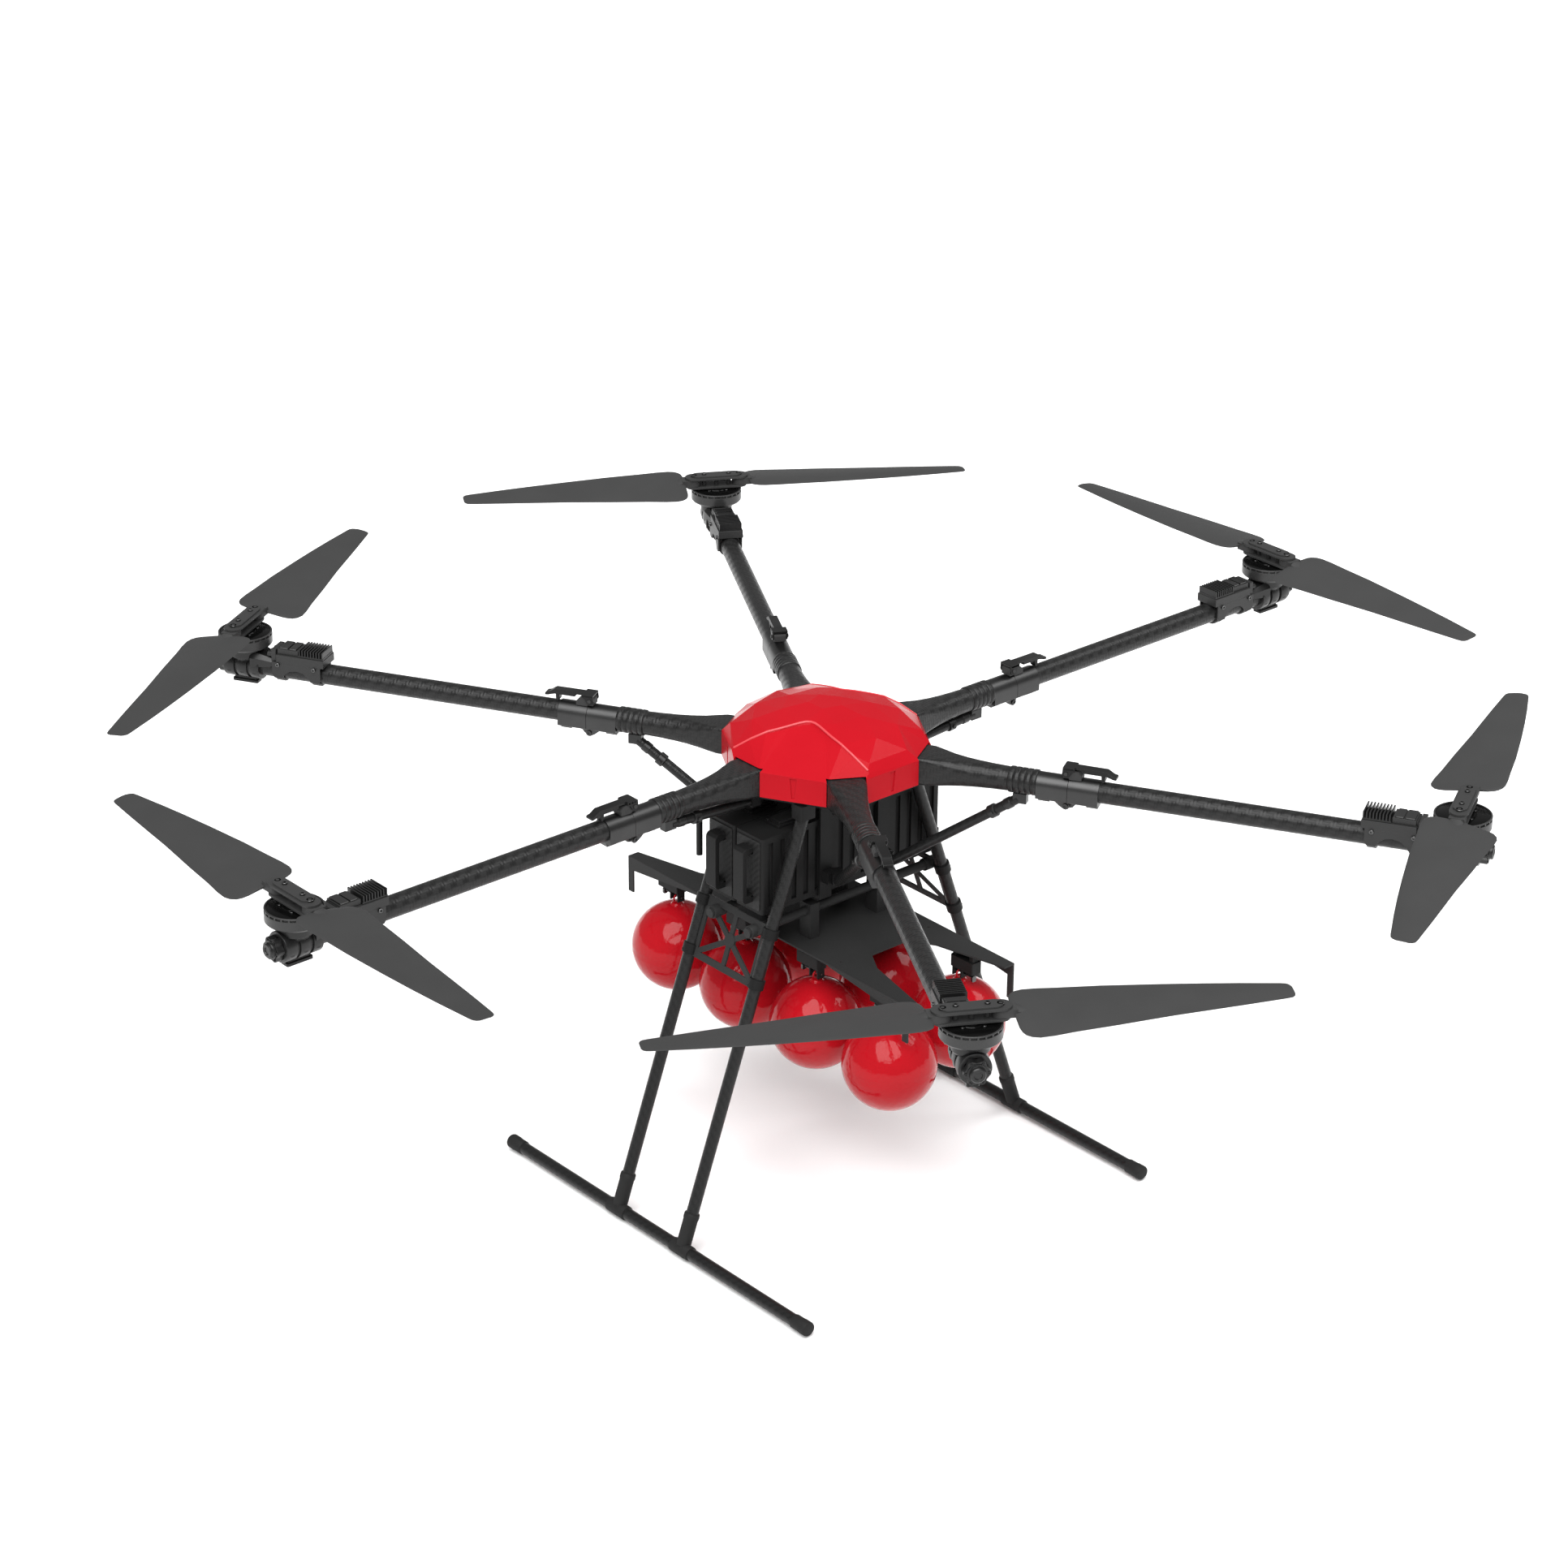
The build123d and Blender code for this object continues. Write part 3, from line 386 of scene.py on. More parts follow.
MOUNT_BLACK = moulded("mount_black", 0.009, 0.32, 800.0, 0.00003, 0.3, specular=0.35)
ESC_GREY = moulded("controller_case", 0.02, 0.4, 900.0, 0.00003, 0.15, specular=0.25)
FIN_BLACK = moulded("fin_black", 0.007, 0.3, 900.0, 0.00002, 0.3, specular=0.3)
PANEL_GREY = brushed("controller_panel", 0.09, 0.3, (12, 1, 12))
BOLT_STEEL = moulded("bolt_black", 0.1, 0.3, 900.0, 0.00001, 0.3, 1.0)
LEVER_BLACK = moulded("lever_black", 0.007, 0.35, 900.0, 0.00002, 0.3, specular=0.2)
RACK_BLACK = moulded("rack_coat", 0.022, 0.55, 600.0, 0.00004, 0.12, specular=0.12)
CASE_BLACK = moulded("battery_case", 0.0075, 0.5, 500.0, 0.00005, 0.25, specular=0.12)
SERVO_BLACK = moulded("servo_plastic", 0.009, 0.5, 700.0, 0.00004, 0.3, specular=0.14)
RUBBER = moulded("rubber", 0.014, 0.62, 400.0, 0.00008, 0.3, specular=0.15)
WIRE_STEEL = brushed("pin_steel", 0.1, 0.3, (12, 1, 12))
LAMP_LENS = moulded("lamp_lens", 0.01, 0.2, 300.0, 0.00002, 0.3)


# ---- putting pieces in place ----


def dress(piece, material, slot_name, body, *stands_for):
    """Give a placed piece its material and body, and hide the CAD nodes that it stands for. Its slot name is
    not used.
    """
    if not piece.data.materials:
        piece.data.materials.append(material)
    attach(piece, body)
    if stands_for:
        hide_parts(*stands_for)


def copies(piece, name, places):
    """One linked copy of a made piece for each (suffix, place)."""
    made = {}
    for suffix, place in places:
        twin = piece.copy()
        twin.name = f"{name}_{suffix}"
        bpy.context.collection.objects.link(twin)
        twin.matrix_world = place
        made[suffix] = twin
    bpy.data.objects.remove(piece)
    return made


def on_arms(form, name, material, slot_name, body="arm_{}", bevel=0.0):
    """The same piece on all six arms, in place of the CAD node of the body that it rides on."""
    places = [(n, turned(ANGLES[n])) for n in ARMS]
    for n, twin in copies(form.object(name, bevel=bevel), name, places).items():
        rides_on = body.format(n)
        stands_for = [] if rides_on == "airframe" else [rides_on]
        dress(twin, material, slot_name, rides_on, *stands_for)


def carry_over(node, material):
    """A CAD node that keeps its shape and gets a finished material."""
    target = frame["nodes"][node]
    for held in target.material_slots:
        held.material = material
    if not target.material_slots:
        target.data.materials.append(material)


# ---- hood ----
RIM_R, SKIRT_Z = 0.1657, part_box("hood")[0].z
RIM_Z = SKIRT_Z + 0.042
CORNER = radians(10.3)
# Radius, height above the rim and turn in degrees of each ring of corners.
DOME_RINGS = ((RIM_R, 0.0, 0), (0.15, 0.019, 15), (0.117, 0.0405, 0), (0.07, 0.055, 15), (0.028, 0.062, 0))
ARCH_FACING, ARCH_HALF = radians(208), radians(45)
ARCH_END, ARCH_CROWN, ARCH_STEP, WALL = 0.1562, 0.066, 0.0042, 0.0032
BROW_RUN, BEAD_R = 0.0035, 0.0019
NOTCH_HALF, NOTCH_TOP = 0.031, 0.7686


def dome_height(x, y):
    """Height above the rim of the hood's faceted crown."""
    radius = hypot(x, y)
    for (r0, z0, _), (r1, z1, _) in zip(DOME_RINGS, DOME_RINGS[1:]):
        if radius >= r1:
            share = min(1.0, max(0.0, (r0 - radius) / (r0 - r1)))
            return z0 + (z1 - z0) * share
    return DOME_RINGS[-1][1]


def arch_radius(share):
    """How far out the brow runs: nearest the middle at share 0, near the rim at -1 and 1."""
    return ARCH_END - (ARCH_END - ARCH_CROWN) * (1 - abs(share) ** 1.9)


def arch(spread, facing, steps=14):
    """Line of the raised brow over one face of the hood, spread outwards."""
    line = []
    for i in range(steps + 1):
        share = -1 + 2 * i / steps
        line.append(Vector(polar(arch_radius(share) + spread, facing + ARCH_HALF * share)))
    return line


def from_arch(x, y):
    """Share of the way from the middle of the nearer brow to its ends."""
    away = (atan2(y, x) - ARCH_FACING + pi / 2) % pi - pi / 2
    return abs(away) / ARCH_HALF


def under_brow(point, slack=0.008):
    """Whether a point of the crown lies close to a brow or beyond it."""
    share = from_arch(*point)
    return share < 1 and point.length > arch_radius(share) - slack


def hood_crown(drop):
    """Faceted top of the hood as one closed solid down to the skirt's edge."""
    points = []
    for radius, _, turn in DOME_RINGS[1:]:
        count = 12 if radius > 0.1 else 8 if radius > 0.04 else 5
        points += [Vector(polar(radius, radians(turn) + tau * k / count)) for k in range(count)]
    rim = [Vector(polar(RIM_R, tau * k / 6 + s)) for k in range(6) for s in (-CORNER, CORNER)]
    spots = rim + [p for p in points if not under_brow(p)]
    edges = [(i, (i + 1) % len(rim)) for i in range(len(rim))]
    low_line = set()
    for turn in (0, pi):
        for spread in (0.0, BROW_RUN):
            line, base = arch(spread, ARCH_FACING + turn), len(spots)
            spots += line
            edges += [(base + i, base + i + 1) for i in range(len(line) - 1)]
            if spread:
                low_line |= set(range(base, base + len(line)))
    out, _, tris, origin, _, _ = delaunay_2d_cdt(spots, edges, [list(range(len(rim)))], 1, 1e-6)
    form = Form()
    verts = []
    for i, p in enumerate(out):
        height = dome_height(p.x, p.y)
        if any(k in low_line for k in origin[i]):
            height -= ARCH_STEP * max(0.0, 1 - from_arch(p.x, p.y) ** 4)
        verts.append(form.bm.verts.new((p.x, p.y, RIM_Z + height - drop)))
    for tri in tris:
        form.bm.faces.new([verts[i] for i in tri])
    ring = [verts[next(i for i, o in enumerate(origin) if k in o)] for k in range(len(rim))]
    floor_z = SKIRT_Z - (0.02 if drop else 0.0)
    base = [form.bm.verts.new((v.co.x, v.co.y, floor_z)) for v in ring]
    for i in range(len(ring)):
        k = (i + 1) % len(ring)
        form.bm.faces.new((ring[i], base[i], base[k], ring[k]))
    form.bm.faces.new(base[::-1])
    return form


def cut(piece, *cutters):
    """Take closed shapes away from a piece for good."""
    for cutter in cutters:
        tool = piece.modifiers.new("cut", "BOOLEAN")
        tool.object = cutter
        tool.operation = "DIFFERENCE"
        tool.solver = "EXACT"
    bpy.context.view_layer.update()
    solid = bpy.data.meshes.new_from_object(piece.evaluated_get(bpy.context.evaluated_depsgraph_get()))
    piece.modifiers.clear()
    piece.data = solid
    for cutter in cutters:
        bpy.data.objects.remove(cutter)


def hood():
    shell = hood_crown(0.0).object("hood_shell", smooth=1)
    hollow = hood_crown(WALL)
    bmesh.ops.scale(hollow.bm, vec=(0.978, 0.978, 1), verts=hollow.bm.verts)
    notches, grooves = Form(), Form()
    upper, lower = RIM_Z - 0.003, SKIRT_Z + 0.005
    taper = [(-0.0055, upper), (-0.0022, lower), (0.0022, lower), (0.0055, upper)]
    for n in ARMS:
        notches.box((0.1, -NOTCH_HALF, SKIRT_Z - 0.03), (0.2, NOTCH_HALF, NOTCH_TOP), turned(ANGLES[n]))
        turn = turned(ANGLES[n] + radians(30))
        grooves.loft([[turn @ Vector((x, y, z)) for y, z in taper] for x in (0.1543, 0.2)])
    cut(shell, hollow.object("hollow"), notches.object("notches"), grooves.object("grooves"))
    shell.data.polygons.foreach_set("use_smooth", [False] * len(shell.data.polygons))
    round_edges(shell, 0.0006)
    shell.modifiers["edge"].angle_limit = radians(50)
    dress(shell, HOOD_RED, "hood_red", "hood", "hood")
    hood_brow()


def hood_brow():
    """Bead along the edge of each brow, in a lighter red that is a painted highlight."""
    beads = Form()
    for turn in (0, pi):
        line = [Vector((p.x, p.y, RIM_Z + dome_height(p.x, p.y) - 0.5 * BEAD_R))
                for p in arch(0.0, ARCH_FACING + turn)]
        ways = [after - before for before, after in zip(line[:1] + line, line[1:] + line[-1:])]
        beads.loft([[aim(mid, way) @ Vector((x, y, 0)) for x, y in circle(BEAD_R, 12)]
                    for mid, way in zip(line, ways)])
    dress(beads.object("hood_brow", smooth=60), BROW_HIGHLIGHT_RED, "hood_red", "hood", "hood")


# ---- rotors ----
BELL_R, BELL_TOP = 0.044, 0.799
BELL_LOW, BELL_WAIST = 0.7772, 0.7798
GAP_LOW, GAP_HIGH = 0.8055, 0.8183        # the blades' roots turn between these two levels
# Height, length, width and thickness of each hub plate.
PLATE_STACK = ((0.802, 0.108, 0.028, 0.0035), (GAP_HIGH, 0.112, 0.03, 0.0035),
               (GAP_HIGH + 0.0035, 0.087, 0.022, 0.003))


def rotor_bells():
    bell = Form()
    bell.lathe([(0.04, BELL_LOW), (0.0418, BELL_LOW), (BELL_R, BELL_WAIST), (BELL_R, 0.7938),
                (0.0412, 0.7938), (0.0412, 0.7973), (BELL_R, 0.7973), (BELL_R, BELL_TOP - 0.0006),
                (BELL_R - 0.0006, BELL_TOP), (0.0412, BELL_TOP), (0.0412, 0.7975), (0.04, 0.7975),
                (0.04, BELL_LOW)], at_hub(0), 96, caps=False)
    # ribs between the vent slots under the rim
    for k in range(24):
        turn = at_hub(0) @ turned(tau * k / 24)
        bell.box((0.0405, -0.0014, 0.7933), (0.0436, 0.0014, 0.7976), turn)
    on_arms(bell, "rotor_bell", MOTOR_SIDE, "motor_black", "rotor_{}", bevel=0.0003)


def rotor_discs():
    disc = Form()
    disc.lathe([(0.0411, 0.7952), (0.0411, 0.7978), (0.04, 0.7984), (0.018, 0.7984), (0.017, 0.7996),
                (0.013, 0.7996), (0.0125, 0.8015), (0.006, 0.8015), (0.006, 0.7952)],
               at_hub(0), 96, caps=False)
    on_arms(disc, "rotor_disc", MOTOR_TOP, "motor_black", "rotor_{}")


def hub_plates():
    plates = Form()
    for low, length, width, thick in PLATE_STACK:
        plates.prism(slot_outline(length, width), at_hub(low), thick)
    for y in (0.0, 0.022, -0.022):
        plates.lathe([(0.004, GAP_LOW), (0.004, GAP_HIGH)], at_hub(0) @ at(0, y, 0), 20)
    for y in (PIVOT_S, -PIVOT_S):
        plates.lathe([(0.00398, GAP_LOW), (0.00398, GAP_HIGH)], at_hub(0) @ at(0, y, 0), 24)
    on_arms(plates, "rotor_plates", HUB_GREY, "blade", "rotor_{}", bevel=0.0005)


def hub_screws():
    screws = Form()
    for y, radius, low in ((PIVOT_S, 0.0055, 0.0035), (-PIVOT_S, 0.0055, 0.0035), (0.022, 0.004, 0.0065),
                           (-0.022, 0.004, 0.0065)):
        screws.bolt(at_hub(GAP_HIGH + low) @ at(0, y, 0), radius, 0.003)
    for k in range(4):
        turn = at_hub(0.7984) @ turned(tau * (k + 0.5) / 4) @ at(0.0215, 0, 0)
        screws.bolt(turn, 0.0028, 0.0018)
    on_arms(screws, "rotor_screws", BOLT_STEEL, "motor_black", "rotor_{}")


# ---- blades ----
# Distance out, rear offset, front offset, thickness.
BLADE_SHAPE = ((0.0573, 0.04, 0.028, 0.0046), (0.059, 0.05, 0.035, 0.0056), (0.0625, 0.0575, 0.04, 0.0064),
               (0.07, 0.063, 0.045, 0.0069), (0.08, 0.0655, 0.0475, 0.007), (0.1, 0.064, 0.0478, 0.0069),
               (0.13, 0.059, 0.0462, 0.0066), (0.19, 0.0515, 0.044, 0.0058), (0.27, 0.04, 0.038, 0.0049),
               (0.33, 0.033, 0.0325, 0.0043), (0.38, 0.027, 0.027, 0.0038), (0.4365, 0.0196, 0.0196, 0.0029),
               (0.4442, 0.0178, 0.018, 0.0025), (0.448, 0.0146, 0.0148, 0.0021), (0.45, 0.0095, 0.01, 0.0016))
BLADE_TWIST = (7.5, 4.5)
BLADE_DROOP = 0.005
ROOT_LOW, ROOT_HIGH, SPEAR_LOW = 0.8058, 0.818, 0.8085
FOIL_STEPS = 14


def blade_at(s):
    """Blade measures at a distance out, read off between the given stations."""
    for a, b in zip(BLADE_SHAPE, BLADE_SHAPE[1:]):
        if s <= b[0]:
            t = (s - a[0]) / (b[0] - a[0])
            return [p + (q - p) * t for p, q in zip(a[1:], b[1:])]
    return list(BLADE_SHAPE[-1][1:])


def blade_ring(s, spin):
    rear, front, thick = blade_at(s)
    share = (s - BLADE_SHAPE[0][0]) / (BLADE_SHAPE[-1][0] - BLADE_SHAPE[0][0])
    pitch = radians(BLADE_TWIST[0] + (BLADE_TWIST[1] - BLADE_TWIST[0]) * share)
    chord = Vector((-spin * cos(pitch), 0, sin(pitch)))
    up = Vector((spin * sin(pitch), 0, cos(pitch)))
    ring = []
    for i in range(2 * FOIL_STEPS):
        half = i / FOIL_STEPS
        over = half <= 1
        # x from 0 at the nose to 1 at the tail, bunched at both ends
        x = 0.5 - 0.5 * cos(pi * (half if over else 2 - half))
        body = 1.9 * sqrt(max(x, 0)) * (1 - x) * (1 - 0.25 * x) + 0.16 * x
        camber = 0.22 * thick * sin(pi * x)
        level = camber + (0.62 if over else -0.3) * thick * body
        along = front - (front + rear) * x
        ring.append(Vector((MOTOR_R, s, BLADE_Z - BLADE_DROOP * share)) + chord * along + up * level)
    return ring


def blade(spin):
    form = Form()
    stations = sorted({s for s, *_ in BLADE_SHAPE} | {0.066 + 0.009 * k for k in range(42)})
    form.loft([blade_ring(s, spin) for s in stations])
    # root block between the hub plates, running down onto the blade as a spear
    sweep = [(0.012 * cos(a), PIVOT_S - 0.012 * sin(a)) for a in (pi * j / 18 for j in range(19))]
    path = [(0.012, 0.0615)] + sweep + [(-0.012, 0.0615)]
    hole = circle(0.00405, 24, (0, PIVOT_S))
    form.prism(path, at(MOTOR_R, 0, ROOT_LOW), ROOT_HIGH - ROOT_LOW, [hole])
    rings = []
    for s, half, top in ((0.0605, 0.0115, ROOT_HIGH - 0.0002), (0.064, 0.0112, 0.8168), (0.07, 0.01, 0.8145),
                         (0.078, 0.008, 0.813), (0.087, 0.0056, 0.812), (0.097, 0.0028, 0.8115),
                         (0.106, 0.0006, 0.8112)):
        shoulder = SPEAR_LOW + 0.6 * (top - SPEAR_LOW)
        rings.append([Vector((MOTOR_R + x * half, s, z))
                      for x, z in ((-1, SPEAR_LOW), (-1, shoulder), (-0.6, top), (0.6, top), (1, shoulder),
                                   (1, SPEAR_LOW))])
    form.loft(rings)
    return form


def blades():
    for spin, numbers in ((1, (2, 4, 6)), (-1, (1, 3, 5))):
        made = blade(spin).object(f"blade_{spin}", smooth=40)
        half_turn = at_hub(0) @ turned(pi) @ at_hub(0).inverted()
        places = []
        for n in numbers:
            turn = turned(ANGLES[n])
            places += [(f"{n}a", turn), (f"{n}b", turn @ half_turn)]
        for suffix, twin in copies(made, "blade_skin", places).items():
            # each blade has its own mesh in the frame's axes, so that its box is a close one
            twin.data = twin.data.copy()
            twin.data.transform(twin.matrix_world)
            twin.matrix_world = Matrix()
            dress(twin, BLADE_GREY, "blade", f"blade_{suffix}", f"blade_{suffix}")


# ---- arms ----
SPLIT_R, SLEEVE_END = 0.396, 0.445
HINGE_PIN, HINGE_KNUCKLE = (HINGE.x, HINGE.z), 0.0064
LATCH_PIN = (LATCH.x, LATCH.z)
PIN_R, PIN_BORE = 0.003, 0.00305
CLAMP_R, CLAMP_R0, CLAMP_R1 = 0.024, 0.968, 1.032
ESC_R0, ESC_R1, ESC_LOW, ESC_TOP = 0.852, 0.95, 0.7604, 0.787
ESC_HALF, TRAY_TOP, PANEL_Z = 0.0215, ESC_LOW + 0.0135, ESC_TOP - 0.0042
FIN_HALF, FIN_BASE = 0.0195, ESC_LOW + 0.0165


def sleeve_ring(steps=16):
    """Outline of a fold sleeve: round above, square below with small corners."""
    top = [polar(SLEEVE_R, pi * j / steps) for j in range(steps + 1)]
    low, near = -SLEEVE_R, 0.0012 - SLEEVE_R
    return top + [(low, near), (near, low), (-near, low), (-low, near)]


def foot(form, r0, r1):
    """Pointed foot under a sleeve."""
    low, high = HINGE.z + 0.0005, HINGE.z + 0.0072
    form.prism([(r0, high), (r0 + 0.002, low), (r1 - 0.002, low), (r1, high)], side_of_arm(-0.008), 0.016)


def arm_tubes():
    skin = Form()
    tube(skin, (SPLIT_R + 0.002, 0, ARM_Z), (CLAMP_R0 + 0.01, 0, ARM_Z), TUBE_R, 90, 40)
    on_arms(skin, "arm_tube", CARBON, "carbon")


def arm_sleeves():
    sleeve = Form()
    start = SPLIT_R + 0.0005
    sleeve.prism(sleeve_ring(), along_arm(start), SLEEVE_END - start, [circle(TUBE_R + 0.00005)])
    foot(sleeve, 0.423, 0.445)
    lug = [(0.398, 0.725), (0.413, 0.725), (0.403, HINGE.z - 0.004), (0.3955, HINGE.z - 0.0062)]
    lug += arc(HINGE_PIN, HINGE_KNUCKLE, -80, -20, 11)
    sleeve.prism(lug, side_of_arm(-0.0068), 0.0136, [circle(PIN_BORE, 24, HINGE_PIN)])
    for x in (0.404, 0.438):
        for y in (-0.0145, 0.0145):
            sleeve.bolt(at(x, y, ARM_Z - SLEEVE_R) @ Matrix.Rotation(pi, 4, "X"), 0.0024, 0.0012)
    on_arms(sleeve, "arm_sleeve", SLEEVE_METAL, "fold_grey", bevel=0.0005)


def latch_blocks():
    block = Form()
    nose = arc(LATCH_PIN, 0.0054, 90, 18, 6)
    outline = [(0.3869, 0.7624), (0.3966, 0.7624), (0.3966, 0.7605), (0.416, 0.7605), (0.416, 0.768),
               (0.4095, 0.774), (0.399, 0.7757)]
    block.prism(outline + nose, side_of_arm(-0.01), 0.02)
    block.lathe([(PIN_R, -0.0148), (PIN_R, 0.0148)], aim((LATCH.x, 0, LATCH.z), (0, 1, 0)), 24)
    on_arms(block, "arm_latch_block", HUB_GREY, "fold_grey", bevel=0.0005)


def motor_mounts():
    mount = Form()
    bands = [(TUBE_R, 0.0)]
    groove, edge, band = CLAMP_R - 0.0035, CLAMP_R - 0.0006, CLAMP_R - 0.0002
    for start, end in ((0.0, 0.017), (0.0215, 0.0395), (0.044, 0.0635)):
        bands += [(groove, start), (edge, start + 0.0004), (band, start + 0.0014), (band, end - 0.0014),
                  (edge, end - 0.0004), (groove, end)]
    bands += [(TUBE_R, 0.0635)]
    mount.lathe(bands, along_arm(CLAMP_R0), 56, caps=False)
    # fairing that slopes from the tube up to the seat
    rings = []
    foot_z = ARM_Z + 0.004
    for x, width, top in ((0.944, 0.03, 0.7615), (0.958, 0.036, 0.766), (0.972, 0.046, 0.7715),
                          (0.982, 0.05, 0.7725)):
        rings.append([(x, width * across, foot_z + (top - foot_z) * up)
                      for across, up in ((-0.5, 0), (-0.5, 0.6), (-0.36, 0.94), (0, 1), (0.36, 0.94),
                                         (0.5, 0.6), (0.5, 0))])
    mount.loft(rings)
    mount.lathe([(0.021, 0.752), (0.0275, 0.76), (0.0278, 0.7705), (0.036, 0.7735), (0.037, 0.7758),
                 (0.034, 0.776), (0.034, 0.79), (0.008, 0.79), (0.008, 0.752)], at_hub(0), 64, caps=False)
    # cross bolts and their bosses on both sides of the clamp
    for x in (0.9765, 0.9985, 1.0215):
        for side in (-1, 1):
            boss = aim((x, side * 0.0205, ARM_Z - 0.006), (0, side, 0))
            mount.lathe([(0.0052, -0.004), (0.0052, 0.0015), (0.0046, 0.0021)], boss, 20)
    on_arms(mount, "arm_motor_mount", MOUNT_BLACK, "motor_black", bevel=0.0003)


def end_caps():
    """Six-lobed cap on the outer end of each arm."""
    cap, seat = Form(), along_arm(CLAMP_R1 + 0.0002)
    lobes = [polar(0.0178 + 0.0017 * cos(6 * a), a) for a in (tau * j / 72 for j in range(72))]
    cap.prism(lobes, seat, 0.0112)
    cap.lathe([(0.0145, 0.0112), (0.0145, 0.0128), (0.0118, 0.0128), (0.0112, 0.0142), (0.0112, 0.0172),
               (0.0098, 0.0186), (0.006, 0.0186), (0.0052, 0.017)], seat, 40)
    for k in range(6):
        cap.bolt(seat @ at(*polar(0.0158, tau * k / 6), 0.0111), 0.0021, 0.0018)
    on_arms(cap, "arm_end_cap", MOUNT_BLACK, "motor_black", bevel=0.0005)


def motor_lamps():
    lamp = Form()
    lamp.prism(rounded(0.045, 0.018, 0.003), at(MOTOR_R, 0, 0.7112), 0.0045)
    lamp.prism(rounded(0.04, 0.013, 0.002), at(MOTOR_R, 0, 0.7152), 0.0055)
    on_arms(lamp, "arm_lamp", LAMP_LENS, "motor_black", bevel=0.0006)


def controller_cases():
    case = Form()
    # lower tray with the cable end cut back, lid and end wall
    case.box((ESC_R0, -ESC_HALF, ESC_LOW), (ESC_R1 - 0.014, ESC_HALF, TRAY_TOP))
    case.box((ESC_R0 + 0.046, -0.017, TRAY_TOP), (ESC_R1 - 0.016, 0.017, PANEL_Z))
    case.box((ESC_R1 - 0.012, -0.0175, ESC_LOW), (ESC_R1 - 0.004, 0.0175, ESC_TOP - 0.006))
    for y in (-0.0125, 0.0, 0.0125):
        case.lathe([(0.0042, 0), (0.0042, 0.01)], aim((ESC_R1 - 0.006, y, ESC_LOW + 0.01), (1, 0, 0)), 20)
    # saddles round the tube, with a scalloped lower edge
    for x in (0.862, 0.926):
        case.prism(circle(0.0208, 40), along_arm(x), 0.014, [circle(TUBE_R + 0.0001, 40)])
    top, sheet = ESC_LOW + 0.0002, 0.003
    skirt = [(0.858, top), (0.858, 0.738), (0.862, 0.733), (0.876, 0.733), (0.88, 0.74), (0.889, 0.747),
             (0.901, 0.749), (0.913, 0.747), (0.922, 0.74), (0.926, 0.733), (0.94, 0.733), (0.944, 0.738),
             (0.944, top)]
    for offset in (-ESC_HALF, ESC_HALF - sheet):
        case.prism(skirt, side_of_arm(offset), sheet)
    on_arms(case, "arm_controller", ESC_GREY, "electronics", bevel=0.0005)


def controller_fins():
    fins = Form()
    fins.box((ESC_R0 + 0.001, -FIN_HALF, TRAY_TOP), (ESC_R0 + 0.045, FIN_HALF, FIN_BASE))
    for k in range(9):
        x = ESC_R0 + 0.0015 + 0.005 * k
        fins.box((x, -FIN_HALF, FIN_BASE), (x + 0.0022, FIN_HALF, ESC_TOP))
    fins.prism(rounded(0.006, 0.028, 0.001), at(ESC_R1 - 0.0155, 0, ESC_LOW + 0.002), 0.019)
    on_arms(fins, "arm_fins", FIN_BLACK, "electronics", bevel=0.0003)


def controller_panels():
    panels = Form()
    for x, long in ((0.9085, 0.0125), (0.9245, 0.015)):
        panels.prism(rounded(long, 0.03, 0.0015), at(x, 0, PANEL_Z), 0.0022)
    on_arms(panels, "arm_panels", PANEL_GREY, "electronics", bevel=0.0005)


def controller_bolts():
    bolts = Form()
    for x in (0.869, 0.933):
        for side in (-1, 1):
            bolts.bolt(aim((x, side * ESC_HALF, ESC_LOW - 0.0035), (0, side, 0)), 0.0036, 0.003)
    on_arms(bolts, "arm_bolts", BOLT_STEEL, "motor_black")


def latch_levers():
    lever = Form()
    for low in (-0.0129, 0.0104):
        cheek = [(0.3865, 0.7808), (0.4055, 0.7808), (0.4055, 0.7768), (0.401, 0.774), (0.3975, 0.7672)]
        cheek += arc(LATCH_PIN, 0.0065, -40, -20, 9)
        lever.prism(cheek, side_of_arm(low), 0.0025, [circle(PIN_BORE, 20, LATCH_PIN)])
    bridge = [(0.3868, 0.7772), (0.405, 0.7772), (0.405, 0.7812), (0.3862, 0.7812)]
    lever.prism(bridge, side_of_arm(-0.0129), 0.0258)
    strap = [(0.404, 0.7772), (0.419, 0.7772), (0.419, 0.7728), (0.454, 0.7728), (0.46, 0.7712),
             (0.465, 0.7695), (0.47, 0.769), (0.4706, 0.7712), (0.47, 0.7735), (0.464, 0.7748),
             (0.4575, 0.779), (0.4545, 0.7808), (0.404, 0.7812)]
    lever.prism(strap, side_of_arm(-0.0074), 0.0148)
    post = [(0.446, 0.774), (0.4466, 0.764), (0.448, 0.7614), (0.451, 0.7614), (0.4522, 0.764),
            (0.4526, 0.774)]
    lever.prism(post, side_of_arm(-0.006), 0.012)
    on_arms(lever, "latch_lever_skin", LEVER_BLACK, "anodised_black", "latch_lever_{}", bevel=0.0007)


# ---- arm roots, sleeves and struts ----
INNER_START = 0.346
STRUT_R, STRUT_TOP = 0.008, (0.318, 0, 0.714)
# Distance out, width, height and corner radius.
ROOT_SHAPE = ((0.104, 0.06, 0.046, 0.006), (0.15, 0.06, 0.046, 0.006), (0.172, 0.06, 0.046, 0.006),
              (0.19, 0.0545, 0.0445, 0.0095), (0.205, 0.05, 0.043, 0.013), (0.228, 0.0455, 0.0412, 0.0165),
              (0.25, 0.042, 0.04, 0.018), (0.275, 0.0398, 0.0388, 0.0188), (0.3, 0.038, 0.038, 0.0189))


